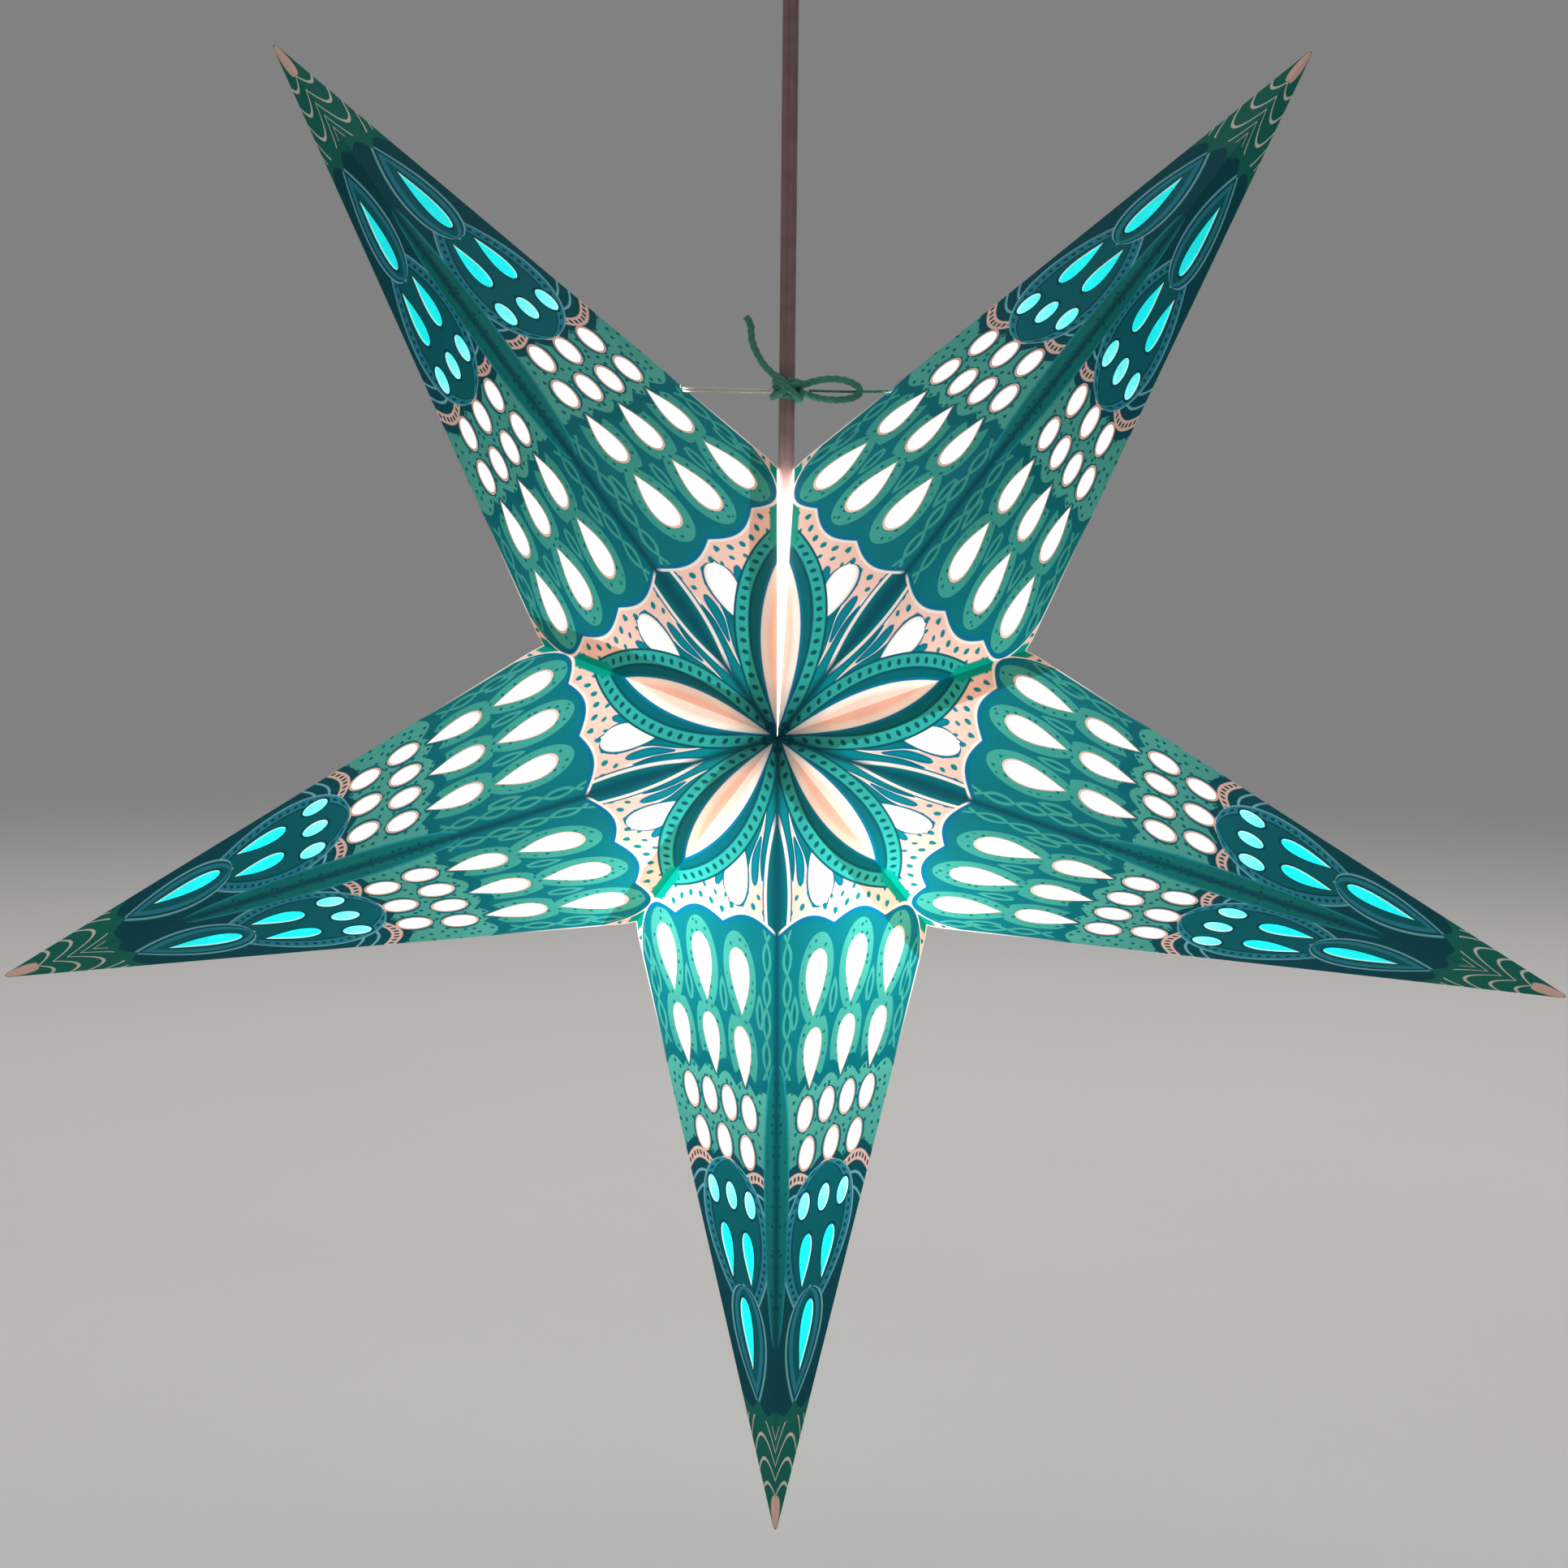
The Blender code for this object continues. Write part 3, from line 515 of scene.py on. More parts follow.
cap_profile = [
    (CAP_BORE, cap_high.z),
    *quarter((cap_radius - CAP_ROUNDING, cap_high.z - CAP_ROUNDING), CAP_ROUNDING, 90, 0),
    (cap_radius, cap_low.z),
    (core, cap_low.z),
    (core, cap_high.z - CAP_ROUNDING),
    (CAP_BORE, cap_high.z - HOLDER_WALL),
]
cap = turned(rounded(cap_profile, SOFT_EDGE, steps=2), steps=64)
add_piece("lamp_holder_cap", cap, [plastic], "white_plastic", "lamp", "holder_cap")
barrel_low, barrel_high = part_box("holder_barrel")
web_top = barrel_high.z - WEB_DROP
barrel_profile = [
    (0, web_top),
    (core, web_top),
    (core, barrel_high.z),
    (cap_radius, barrel_high.z),
    (cap_radius, barrel_low.z + HOLDER_RIM),
    (cap_radius + HOLDER_RIM, barrel_low.z + HOLDER_RIM),
    (cap_radius + HOLDER_RIM, barrel_low.z),
    (SHELL_BORE, barrel_low.z),
    (SHELL_BORE, web_top - WEB),
    (0, web_top - WEB),
]
barrel = turned(rounded(barrel_profile, SOFT_EDGE, closed=False, steps=2), steps=64)
add_piece("lamp_holder_barrel", barrel, [plastic], "white_plastic", "lamp", "holder_barrel")

BRASS_STREAKS = (200, 200, 2500)
brass, place = finish("drawn_brass", {"Metallic": 1.0})
drawn = noise(place.node("Mapping", {}, {"Vector": place, "Scale": BRASS_STREAKS}), 1.0, 4.0)
tarnish = noise(place, 220, 4.0)
feed(brass, "Base Color", tarnish.mix(shade(222, 184, 104), shade(176, 128, 62)))
feed(brass, "Roughness", 0.2 + drawn * 0.25)
feed(brass, "Normal", bump(drawn, 0.3, 0.00005))
dress("screw_shell", brass)
dress("centre_contact", brass)
dress("bulb_cap", zinc)


# Bulb: a small round globe of opal glass on a plated screw cap, which seats under the centre contact.
# Lit, the glass glows evenly white and a little brighter round its middle.
GLOBE_STEPS = 24
GLOBE_RADIUS = 0.0225
GLOBE_SHOULDER = 0.0105
GLOBE_NECK = 0.0066
NECK_LENGTH = 0.0060
CORE_SLOPE = -16.0  # the glow is whole to 16 mm from the globe's middle, and falls off from there
CORE_START = 1.25
opal, place = finish("lit_opal_glass", {"Emission Strength": EMISSION, "IOR": 1.5})
opal_haze = noise(place, 90, 4.0)
feed(opal, "Base Color", opal_haze.mix(shade(250, 246, 236), shade(240, 234, 220)))
feed(opal, "Roughness", 0.18 + opal_haze * 0.14)
apart = distance(place, LAMP)
core_light = apart.math("MULTIPLY_ADD", apart, CORE_SLOPE, CORE_START, clamp=True)
feed(opal, "Emission Color", core_light.mix(shade(120, 112, 100), shade(255, 250, 238)))
globe_low, globe_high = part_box("bulb_globe")
shoulder = math.asin(GLOBE_SHOULDER / GLOBE_RADIUS)
globe_middle = globe_low.z + GLOBE_RADIUS
neck_low = globe_high.z - NECK_LENGTH
globe_profile = [(0, globe_high.z), (GLOBE_NECK, globe_high.z), (GLOBE_NECK, neck_low)]
for step in range(GLOBE_STEPS + 1):
    angle = shoulder + (math.pi - shoulder) * step / GLOBE_STEPS
    radius = GLOBE_RADIUS * math.sin(angle) if step < GLOBE_STEPS else 0
    globe_profile.append((radius, globe_middle + GLOBE_RADIUS * math.cos(angle)))
globe = turned(globe_profile, steps=64)
add_piece("opal_globe", globe, [opal], "opal_bulb", "lamp", "bulb_globe")


# Star cards: twenty triangles of thin printed card, four to an arm, die-cut in rows of drops and ovals.
# They are creased and glued edge to edge; each arm's print is mirrored at its ridge.
ARMS = ("bottom", "right", "upper_right", "upper_left", "left")
CARDS = [(arm, face, side) for arm in ARMS for face in ("front", "back") for side in ("left", "right")]
CARD = 0.0005
SAME_POINT = 0.0000005
TIP_BLUNT = 0.0012
VALLEY_FEATHER = 0.0044  # thinned towards a valley, where folded cards close to 14 degrees
RIDGE_MARGIN = 0.010
EDGE_MARGIN = 0.008
TIE_HOLE = 0.0023
TIE_HOLE_STEPS = 8
DROP_POINTS = 24
OVAL_POINTS = 20
DROP_TAPER = 1.2
DROP_FULLNESS = 1.25
CUT_ROWS = (
    # distance from the notch along the outer edge, count, length, width, shape
    (0.0125, 3, 0.024, 0.012, "drop"),
    (0.0425, 3, 0.022, 0.010, "drop"),
    (0.0645, 4, 0.012, 0.008, "oval"),
    (0.0815, 3, 0.012, 0.008, "oval"),
    (0.1035, 3, 0.011, 0.007, "oval"),
    (0.1275, 2, 0.022, 0.008, "drop"),
    (0.1605, 1, 0.030, 0.008, "drop"),
)
PRINT_SPAN = 0.34  # metres of card to one unit of its UV map

ridge = joints["ridge_right_front_right"]
ridge_tip = Vector(ridge["pos_m"])
ridge_way = Vector(ridge["axis"])
apexes = {"front": ridge_tip - ridge_way * (ridge_tip.x / ridge_way.x)}
apexes["back"] = Vector((0, -apexes["front"].y, apexes["front"].z))
tie_low, tie_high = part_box("tie_knot")
tie_level = (tie_low.z + tie_high.z) / 2


def arm_tip(arm):
    """The arm's point, which its ridge creases start from."""
    side = "right" if "right" in arm else "left"
    crease = "star_fold" if arm == "bottom" else f"ridge_{arm}_front_{side}"
    return Vector(joints[crease]["pos_m"])


def card_corners(arm, face, side):
    """A card's apex, tip and notch corners."""
    notch = Vector(joints[f"edge_{arm}_back_{side}"]["pos_m"])
    return apexes[face], arm_tip(arm), notch


def cut_outs(tip, notch):
    """Smooth outlines of a card's cut-outs, with the ridge along X and the apex at the origin."""
    tip_angle = math.atan2(notch.y, tip.x - notch.x)
    outlines = []
    for from_notch, count, length, width, kind in CUT_ROWS:
        reach = (tip - notch).length - from_notch
        first = RIDGE_MARGIN / reach
        spread = tip_angle - first - EDGE_MARGIN / reach
        steps = DROP_POINTS if kind == "drop" else OVAL_POINTS
        for i in range(count):
            turn = -(first + spread * (i + 0.5) / count)
            along = Vector((math.cos(turn), math.sin(turn)))
            across = Vector((-along.y, along.x))
            middle = tip - reach * along
            outline = []
            for step in range(steps):
                angle = 2 * math.pi * step / steps
                half = width / 2 * math.sin(angle)
                if kind == "drop":
                    half *= DROP_FULLNESS * math.sin(angle / 2) ** DROP_TAPER
                outline.append(middle + length / 2 * math.cos(angle) * along + half * across)
            outlines.append(outline)
    return outlines


def flat_card(arm, face, side):
    """The matrix that lays a card's flat drawing in the star, and the corners in the drawing.

    The drawing has the card's apex at its origin and the ridge along X.
    """
    corners = card_corners(arm, face, side)
    apex, tip, notch = corners
    along = (tip - apex).normalized()
    across = notch - apex - (notch - apex).dot(along) * along
    across.normalize()
    outward = along.cross(across)
    if outward.y * apex.y < 0:
        outward.negate()
    lay = Matrix.Translation(apex) @ Matrix((along, across, outward)).transposed().to_4x4()
    flat = lay.inverted()
    return lay, [(flat @ corner).xy for corner in corners]


def blunt_triangle(corners, insets, cut_off):
    """Move each side of a card's triangle inwards, and cut its point off square to the ridge.

    Side i runs from corner i to the next: the ridge, the outer edge and the valley.
    """
    lines = []
    for i, inset in enumerate(insets):
        start, end = corners[i], corners[(i + 1) % 3]
        way = (end - start).normalized()
        lines.append((start + inset * Vector((-way.y, way.x)), way))
    inner = []
    for i in range(3):
        (p, d), (q, e) = lines[i - 1], lines[i]
        reach = ((q - p).x * e.y - (q - p).y * e.x) / (d.x * e.y - d.y * e.x)
        inner.append(p + reach * d)
    end = corners[1].x - cut_off
    edge = lines[1]
    cut = edge[0] + edge[1] * ((end - edge[0].x) / edge[1].x)
    return [inner[0], Vector((end, inner[1].y)), cut, inner[2]]


def star_card(arm, face, side):
    """One card: mitred at the ridge, square at the outer edge and thinned at the valley, to fold flat."""
    lay, corners = flat_card(arm, face, side)
    along, across, outward = (lay.col[i].xyz for i in range(3))
    sideways = along.cross(Vector((0, 1, 0)))
    mitre = -CARD * outward.dot(sideways) / across.dot(sideways)
    upper = blunt_triangle(corners, (mitre, 0, VALLEY_FEATHER), TIP_BLUNT)
    under = blunt_triangle(corners, (0, 0, 0), TIP_BLUNT)
    under[0] = Vector((upper[0].x, 0))
    under[3] = upper[3]
    if f"{arm}_{side}" in ("upper_right_right", "upper_left_left"):
        _, tip, notch = card_corners(arm, face, side)
        hole = corners[2].lerp(corners[1], (tie_level - notch.z) / (tip.z - notch.z))
        way = (corners[2] - corners[1]).normalized()
        inward = Vector((-way.y, way.x))
        half_round = []
        for step in range(TIE_HOLE_STEPS + 1):
            angle = math.pi * step / TIE_HOLE_STEPS
            half_round.append(hole + TIE_HOLE * (math.sin(angle) * inward - math.cos(angle) * way))
        under[3:3] = half_round
        upper[3:3] = half_round
    build = bmesh.new()
    outlines = [under, *cut_outs(corners[1], corners[2])]
    loops = [[build.verts.new((*point, 0)) for point in outline] for outline in outlines]
    edges = [build.edges.new((loop[i - 1], loop[i])) for loop in loops for i in range(len(loop))]
    bmesh.ops.triangle_fill(build, edges=edges, use_beauty=True)
    valley = [build.verts.new((*corners[i], 0)) for i in (0, 2)]
    build.faces.new((loops[0][-1], loops[0][0], *valley))
    lifted = points_of(bmesh.ops.extrude_face_region(build, geom=build.faces[:]))
    bmesh.ops.translate(build, verts=lifted, vec=(0, 0, CARD))
    places = [(start, (*end, CARD)) for start, end in zip(under, upper)]
    places += [(corners[i], (*corners[i], 0)) for i in (0, 2)]
    for vertex in lifted:
        for start, end in places:
            if (vertex.co.xy - start).length < SAME_POINT:
                vertex.co = end
                break
    bmesh.ops.remove_doubles(build, verts=build.verts[:], dist=SAME_POINT)
    bmesh.ops.transform(build, matrix=lay, verts=build.verts[:])
    bmesh.ops.recalc_face_normals(build, faces=build.faces[:])
    layer = build.loops.layers.uv.new("card")
    glue_tab = build.faces.layers.float.new("glue_tab")
    # Cards that get painted shade along their valley side, where a doubled glue tab would be.
    tab_shaded = (arm, side) == ("upper_left", "left") or (side == "right" and arm != "upper_right")
    flat = lay.inverted()
    for polygon in build.faces:
        polygon.material_index = 0 if polygon.normal.dot(outward) > 0.5 else 1
        polygon[glue_tab] = float(tab_shaded)
        for loop in polygon.loops:
            loop[layer].uv = (flat @ loop.vert.co).xy / PRINT_SPAN
    return build


# Print on the cards, in millimetres of card: zones on arcs round the tip, and a flower round the apex.
# Inks are the colours that the paper shows where the lamp is about 0.1 m behind it.
apex, tip, notch = card_corners("bottom", "front", "right")
RIDGE = (tip - apex).length * 1000
EDGE = (tip - notch).length * 1000
TIP_ANGLE = (apex - tip).angle(notch - tip)
APEX_ANGLE = (tip - apex).angle(notch - apex)
NOTCH_X = RIDGE - EDGE * math.cos(TIP_ANGLE)
NOTCH_Y = EDGE * math.sin(TIP_ANGLE)

TAB_WIDTH = 12
TAB_LIGHT = (0.66, 0.50, 0.42, 1)
# Painted shade: the light left at the apex, where the creases meet.
APEX_LIGHT = (0.02, 0.05, 0.06, 1)
INK_CENTRE = shade(0, 134, 140)
INK_SHADE = shade(0, 100, 108)
INK_PEACH = shade(255, 208, 190)
INK_WHITE = shade(255, 240, 226)
# Painted light: bare paper brighter than white, as a hot spot of the lamp shining through.
INK_BARE_HOT_SPOT = (1.7, 1.65, 1.6, 1)  # paper with no ink lets more light through
INK_BLUE = shade(0, 112, 146)
INK_GROUND = shade(6, 118, 126)
INK_GREEN = shade(66, 165, 150)
INK_OVAL = shade(84, 176, 160)
INK_TURQUOISE = shade(46, 168, 156)
INK_DARK = shade(0, 112, 120)
INK_DEEP = shade(0, 84, 96)
INK_LEAF = shade(36, 150, 164)
INK_BAND = shade(44, 146, 164)
INK_STEM = shade(10, 126, 120)
INK_LINE = shade(126, 200, 210)
INK_TIP = shade(22, 122, 106)
# Painted light: the bright teal glow along the valley creases.
INK_VALLEY_GLOW = shade(0, 150, 130)
INK_CURL = shade(245, 234, 220)

card_print, place = finish("printed_card", {"Emission Strength": EMISSION, "Specular IOR Level": 0.06})
map_place = place.node("UVMap", {"uv_map": "card"}, {})
card_x = map_place.node("SeparateXYZ", {}, {0: map_place}) * (PRINT_SPAN * 1000)
card_y = map_place.node("SeparateXYZ", {}, {0: map_place}, 1) * (PRINT_SPAN * 1000)


def inside(margin, softness=0.45):
    """A mask that is 1 where a margin in millimetres is positive."""
    return margin.math("MULTIPLY_ADD", margin, 1 / softness, 0.5, clamp=True)


def root(value):
    """A square root."""
    return value.math("SQRT", value)


def leaf(along, across, length, width, taper):
    """Millimetres inside a leaf or drop of a given taper; its point is where along is largest."""
    half_length = length * 0.5
    run = along / half_length
    past = run.math("MAXIMUM", abs(run) - 1, 0.0) * half_length
    run = run.math("MINIMUM", run.math("MAXIMUM", run, -1.0), 1.0)
    half = root(1 - run * run) * (0.5 - 0.5 * run) ** taper * (width * 0.5)
    return half * (1 + taper * (DROP_FULLNESS - 1) / (DROP_TAPER / 2)) - abs(across) - past


def almond(along, across, length, width):
    """Millimetres inside an almond, which has a point at each end."""
    run = along / (length * 0.5)
    return (1 - run * run) * (width * 0.5) - abs(across)


def spaced(value, spacing):
    """How far a value is from the nearest whole number of spacings."""
    return value.math("PINGPONG", value, spacing / 2)


def dot(first, second, radius):
    """Millimetres inside a dot, from the distances to its middle on two axes."""
    return radius - root(first * first + second * second)


def scallop(value, count, height):
    """A row of round lobes over a value from 0 to 1."""
    wave = value * (math.pi * count)
    return abs(wave.math("SINE", wave)) * height


short = RIDGE - card_x
from_tip = root(short * short + card_y * card_y)
angle = short.math("ARCTAN2", card_y, short)
turn = angle / TIP_ANGLE
from_edge = (TIP_ANGLE - angle) * from_tip
from_apex = root(card_x * card_x + card_y * card_y)
fan_angle = card_x.math("ARCTAN2", card_y, card_x)
fan = fan_angle / APEX_ANGLE
from_valley = (APEX_ANGLE - fan_angle) * from_apex
notch_aside = card_x - NOTCH_X
notch_below = card_y - NOTCH_Y
from_notch = root(notch_aside * notch_aside + notch_below * notch_below)

# Fringe of flames round the flower: long tongues with a slit, and short ones with a dot
TONGUES = 5
FAR_OFF = 20  # taken off a shape's distance, in millimetres, it leaves the shape out
border = 246 + scallop(turn, 3, 4.5) + (1 - turn) ** 2 * 9 - turn**14 * 20
above = from_tip - border
waver = noise(map_place, 13, 1.0) - 0.5
sway = above * 0.16
flames = fan * TONGUES + sway.math("SINE", sway) * 0.16 + waver * 0.6
tongue = flames.math("PINGPONG", flames, 0.5) * 2
tall = flames.math("FLOORED_MODULO", flames.math("FLOOR", flames), 2.0)
flame = tongue**1.35 * (13 + tall * 18) + 19 - above
tongue_aside = (flames - flames.math("FLOOR", flames) - 0.5) * from_apex * (APEX_ANGLE / TONGUES)
slit = leaf(above - 26, tongue_aside, length=20, width=3.4, taper=0.5) - (1 - tall) * FAR_OFF
pip = dot(tongue_aside, above - 20, radius=1.7) - tall * FAR_OFF
STONES = 15
stone_apart = EDGE * TIP_ANGLE / STONES
stone_run = turn * STONES
stone_aside = stone_run.math("PINGPONG", stone_run, 0.5)
near_row = dot(stone_aside * stone_apart, above - 7.4, radius=1.4)
far_row = dot((0.5 - stone_aside) * stone_apart, above - 12.2, radius=1.1)
stones = near_row.math("MAXIMUM", near_row, far_row)
ink = inside(flame + 9, softness=16).mix(INK_CENTRE, INK_SHADE)
ink = inside(flame + 2.2).mix(ink, INK_BLUE)
ink = inside(flame).mix(ink, INK_WHITE)
ink = inside(flame - 4.0, softness=3.0).mix(ink, INK_PEACH)
ink = inside(slit + 0.6).mix(ink, INK_BLUE)
ink = inside(slit - 0.4).mix(ink, INK_CENTRE)
ink = inside(pip).mix(ink, INK_CENTRE)
ink = (inside(stones) * inside(flame - 1.5)).mix(ink, INK_CENTRE)
# Painted light: a window of bare paper in each flame zone, painted brighter than white as a hot spot
# where the lamp shines straight through.
window_aside = (fan_angle - APEX_ANGLE * 0.52) * from_apex
window = leaf(65 - from_apex, window_aside, length=23, width=12.5, taper=0.4)
ink = inside(window + 2.2).mix(ink, INK_BLUE)
ink = inside(window + 1.0).mix(ink, INK_WHITE)
ink = inside(window - 1.5, softness=4.0).mix(ink, INK_BARE_HOT_SPOT)

# Ripples round the notch, and a dark almond along the ridge
ripple = 0.5 + from_valley * 0.04 - spaced(from_notch, 6.4)
ripple_room = inside(25 - from_notch)
ink = inside(26.4 - from_notch).mix(ink, INK_BLUE)
ink = ripple_room.mix(ink, INK_PEACH)
ink = (inside(ripple) * ripple_room).mix(ink, INK_CENTRE)
spear = almond(from_apex - 62, card_y, length=60, width=11)
ink = inside(spear + 2.6).mix(ink, INK_BLUE)
ink = inside(spear + 1.7).mix(ink, INK_WHITE)
ink = inside(spear).mix(ink, INK_DARK)
ink = inside(spear - 2.5, softness=4).mix(ink, INK_DEEP)

# Petals along the valleys, in beaded bands
band = almond(from_apex - 52, from_valley, length=112, width=35)
petal = almond(from_apex - 46, from_valley, length=84, width=14)
beads = dot(spaced(from_apex, 5.2), (band - 2.7) * 0.8, radius=1.1)
ink = inside(band + 1.0).mix(ink, INK_DEEP)
ink = inside(band).mix(ink, INK_TURQUOISE)
ink = inside(beads).mix(ink, INK_DEEP)
ink = inside(band - 5.2).mix(ink, INK_DEEP)
ink = inside(band - 6.4).mix(ink, INK_SHADE)
ink = inside(petal + 1.2).mix(ink, INK_BLUE)
ink = inside(petal).mix(ink, INK_WHITE)
ink = inside(petal - 2.8, softness=2.0).mix(ink, INK_PEACH)
# Painted light: a bright teal glow along each valley crease, beyond the petals out to the notch.
crease = inside(3.4 - from_valley, softness=0.8) * inside(from_apex - 96, softness=4)
ink = crease.mix(ink, INK_VALLEY_GLOW)

# Green zone: a scalloped edge, dotted lobes round the cut-outs, and seeds between them
ink = inside(4.4 - above).mix(ink, INK_WHITE)
ink = inside(3.2 - above).mix(ink, INK_BLUE)
green = inside(1.2 - above)
ink = green.mix(ink, INK_GROUND)
LATTICE = 4.4
CUT_SPAN = 400  # millimetres from the tip that a ramp's value of 1 stands for
COUNT_SPAN = 8  # the same for the number of cut-outs in a row
SIZE_SPAN = 64  # the same for a cut-out's length and width
lattice = map_place.node(
    "TexVoronoi",
    {"voronoi_dimensions": "2D"},
    {"Vector": map_place, "Scale": PRINT_SPAN * 1000 / LATTICE, "Randomness": 0.5},
)
starts = [0.0]
row_colours = []
tapers = []
row_end = None
for row_distance, count, length, width, kind in reversed(CUT_ROWS):
    row_middle = EDGE - row_distance * 1000
    half_length = length * 1000 / 2
    if row_end is not None:
        starts.append((row_end + row_middle - half_length) / 2 / CUT_SPAN)
    row_end = row_middle + half_length
    hole_size = (length * 1000 / SIZE_SPAN, width * 1000 / SIZE_SPAN)
    row_colours.append((row_middle / CUT_SPAN, count / COUNT_SPAN, *hole_size))
    taper = DROP_TAPER / 2 if kind == "drop" else 0.0
    tapers.append((taper, taper, taper, 1.0))
share = from_tip / CUT_SPAN
row_size = share.node("ValToRGB", {"steps": list(zip(starts, row_colours))}, {0: share})
row_taper = share.node("ValToRGB", {"steps": list(zip(starts, tapers))}, {0: share})
row_parts = row_size.node("SeparateColor", {}, {0: row_size})
row_from_tip = row_parts * CUT_SPAN
row_count = row_parts.other(1) * COUNT_SPAN
row_length = row_parts.other(2) * SIZE_SPAN
row_width = row_size.other(1) * SIZE_SPAN
row_first = RIDGE_MARGIN * 1000 / row_from_tip
row_spread = TIP_ANGLE - row_first - EDGE_MARGIN * 1000 / row_from_tip
cell = row_spread / row_count
hole_run = (angle - row_first) / cell
row_along = row_from_tip - from_tip
hole_index = hole_run.math("MAXIMUM", hole_run.math("FLOOR", hole_run), 0.0)
hole_index = hole_index.math("MINIMUM", hole_index, row_count - 1)
hole_aside = (hole_run - hole_index - 0.5) * cell * from_tip
gap_aside = (hole_run - hole_run.math("ROUND", hole_run)) * cell * from_tip
halo = leaf(row_along, hole_aside, row_length + 2.2, row_width + 1.7, row_taper)
lobe = leaf(row_along + 1.0, hole_aside, row_length + 13, row_width + 9.5, taper=0.22)
seed = almond(row_along - row_length * 0.36, gap_aside, row_length * 0.66, row_width * 0.42)
seed = seed - inside(212 - from_tip) * FAR_OFF
leaf_run = from_tip.math("WRAP", from_tip, 6.5, -6.5)
side_leaf = almond(leaf_run, card_y - 5.4, length=14, width=5.6)
edge_leaf = almond(leaf_run, from_edge - 5.2, length=14, width=5.6)
side_leaf = side_leaf.math("MAXIMUM", side_leaf, edge_leaf)
side_leaf = side_leaf.math("MAXIMUM", side_leaf, seed)
ink = (inside(side_leaf) * green).mix(ink, INK_GREEN)
ink = (inside(side_leaf - 1.5) * green).mix(ink, INK_DARK)
ink = (inside(lobe + 1.2) * green).mix(ink, INK_GROUND)
ink = (inside(lobe) * green).mix(ink, INK_GREEN)
ink = (inside(lobe - 1.6) * inside(0.17 - lattice, softness=0.07) * green).mix(ink, INK_DARK)
gap_line = 191 + scallop(turn, 6, 4.0)
ink = inside(2.6 - abs(from_tip - gap_line)).mix(ink, INK_DARK)

# Oval zone, and the beaded band that closes it towards the tip
oval_zone = inside(gap_line - 2.6 - from_tip)
ink = oval_zone.mix(ink, INK_OVAL)
ink = (oval_zone * inside(0.19 - lattice, softness=0.06)).mix(ink, INK_DARK)
ink = (oval_zone * inside(halo + 1.4)).mix(ink, INK_DARK)
beaded = 149.5 + scallop(turn, 3, 5.0)
apart_band = abs(from_tip - beaded)
dashes = (turn * 26).math("PINGPONG", turn * 26, 0.5) - 0.24
ink = inside(beaded + 6.0 - from_tip).mix(ink, INK_DEEP)
ink = inside(2.3 - apart_band).mix(ink, INK_PEACH)
ink = (inside(1.0 - apart_band) * inside(dashes, softness=0.1)).mix(ink, INK_DEEP)
ink = inside(beaded - 2.3 - from_tip).mix(ink, INK_DEEP)

# Dark zone: light scallop lines, and two ringed leaves with beads
lines = beaded - 7.0 - from_tip
line = 0.55 - lines.math("PINGPONG", lines, 3.0)
ink = (inside(line) * inside(lines + 1.5) * inside(10.5 - lines)).mix(ink, INK_LINE)
mid_aside = (turn - 0.5) * TIP_ANGLE * from_tip
eye = leaf(122 - from_tip, mid_aside, length=68, width=47, taper=0.42)
eye_beads = dot(spaced(from_tip, 3.4), eye - 3.0, radius=0.9)
ink = inside(eye).mix(ink, INK_LINE)
ink = inside(eye - 0.8).mix(ink, INK_BAND)
ink = inside(eye_beads).mix(ink, INK_DEEP)
ink = inside(eye - 5.2).mix(ink, INK_DEEP)
ink = inside(eye - 6.2).mix(ink, INK_DARK)
bud = leaf(80 - from_tip, mid_aside, length=48, width=22, taper=0.5)
ink = inside(bud + 1.2).mix(ink, INK_LINE)
ink = inside(bud).mix(ink, INK_DEEP)
ink = inside(bud - 1.2).mix(ink, INK_BAND)
ink = inside(bud - 3.6).mix(ink, INK_DARK)

# Tip: pale scale-shaped curls on green, and a pale drop at the very point
tip_zone = inside(57 - scallop(turn, 2, 5.0) - from_tip)
ink = tip_zone.mix(ink, INK_TIP)
edge_aside = abs(turn - 0.5) * TIP_ANGLE * from_tip
curl = spaced(from_tip + edge_aside * edge_aside * 0.22, 10.5)
curl_room = inside(49 - from_tip) * inside(from_tip - 15)
ink = (inside(0.75 - curl) * curl_room).mix(ink, INK_CURL)
point_drop = leaf(9 - from_tip, card_y, length=16, width=4.6, taper=0.3)
ink = inside(point_drop).mix(ink, INK_PEACH)

# Ridge and outer edge: a slim dark leaf, painted shade along the ridge, a thin painted white glow along
# the outer edge near the notch, and the pale halo round every cut-out
ridge_leaf = leaf(146 - from_tip, card_y, length=120, width=13, taper=0.2)
ink = inside(ridge_leaf + 1.0).mix(ink, INK_LEAF)
ink = inside(ridge_leaf).mix(ink, INK_STEM)
ink = (inside(ridge_leaf - 1.2) * inside(0.17 - lattice, softness=0.07)).mix(ink, INK_DEEP)
# Painted shade: a soft dark band along the ridge crease, away from the tip.
ink = (inside(1.0 - card_y, softness=2.4) * inside(from_tip - 60, softness=30)).mix(ink, INK_DEEP)
# Painted light: a thin white glow along the outer edge near the notch, where the fold glows.
ink = (inside(0.7 - from_edge) * inside(from_tip - 205, softness=30)).mix(ink, INK_WHITE)
halo_room = inside(from_tip - 151)
ink = (inside(halo) * halo_room).mix(ink, INK_PEACH)
ink = (inside(halo) * (1 - halo_room)).mix(ink, INK_DEEP)

# Card stock: cloudy fibres dim the light, and painted shade makes it darker and warmer along one side of
# each valley, through the doubled glue tabs
UNLIT_SHARE = 0.4  # the room's light on the print, against the lamp's light through it


def scaled(colour, factor):
    """A colour times a number."""
    return colour.node("VectorMath", {"operation": "SCALE"}, {0: colour, 3: factor})


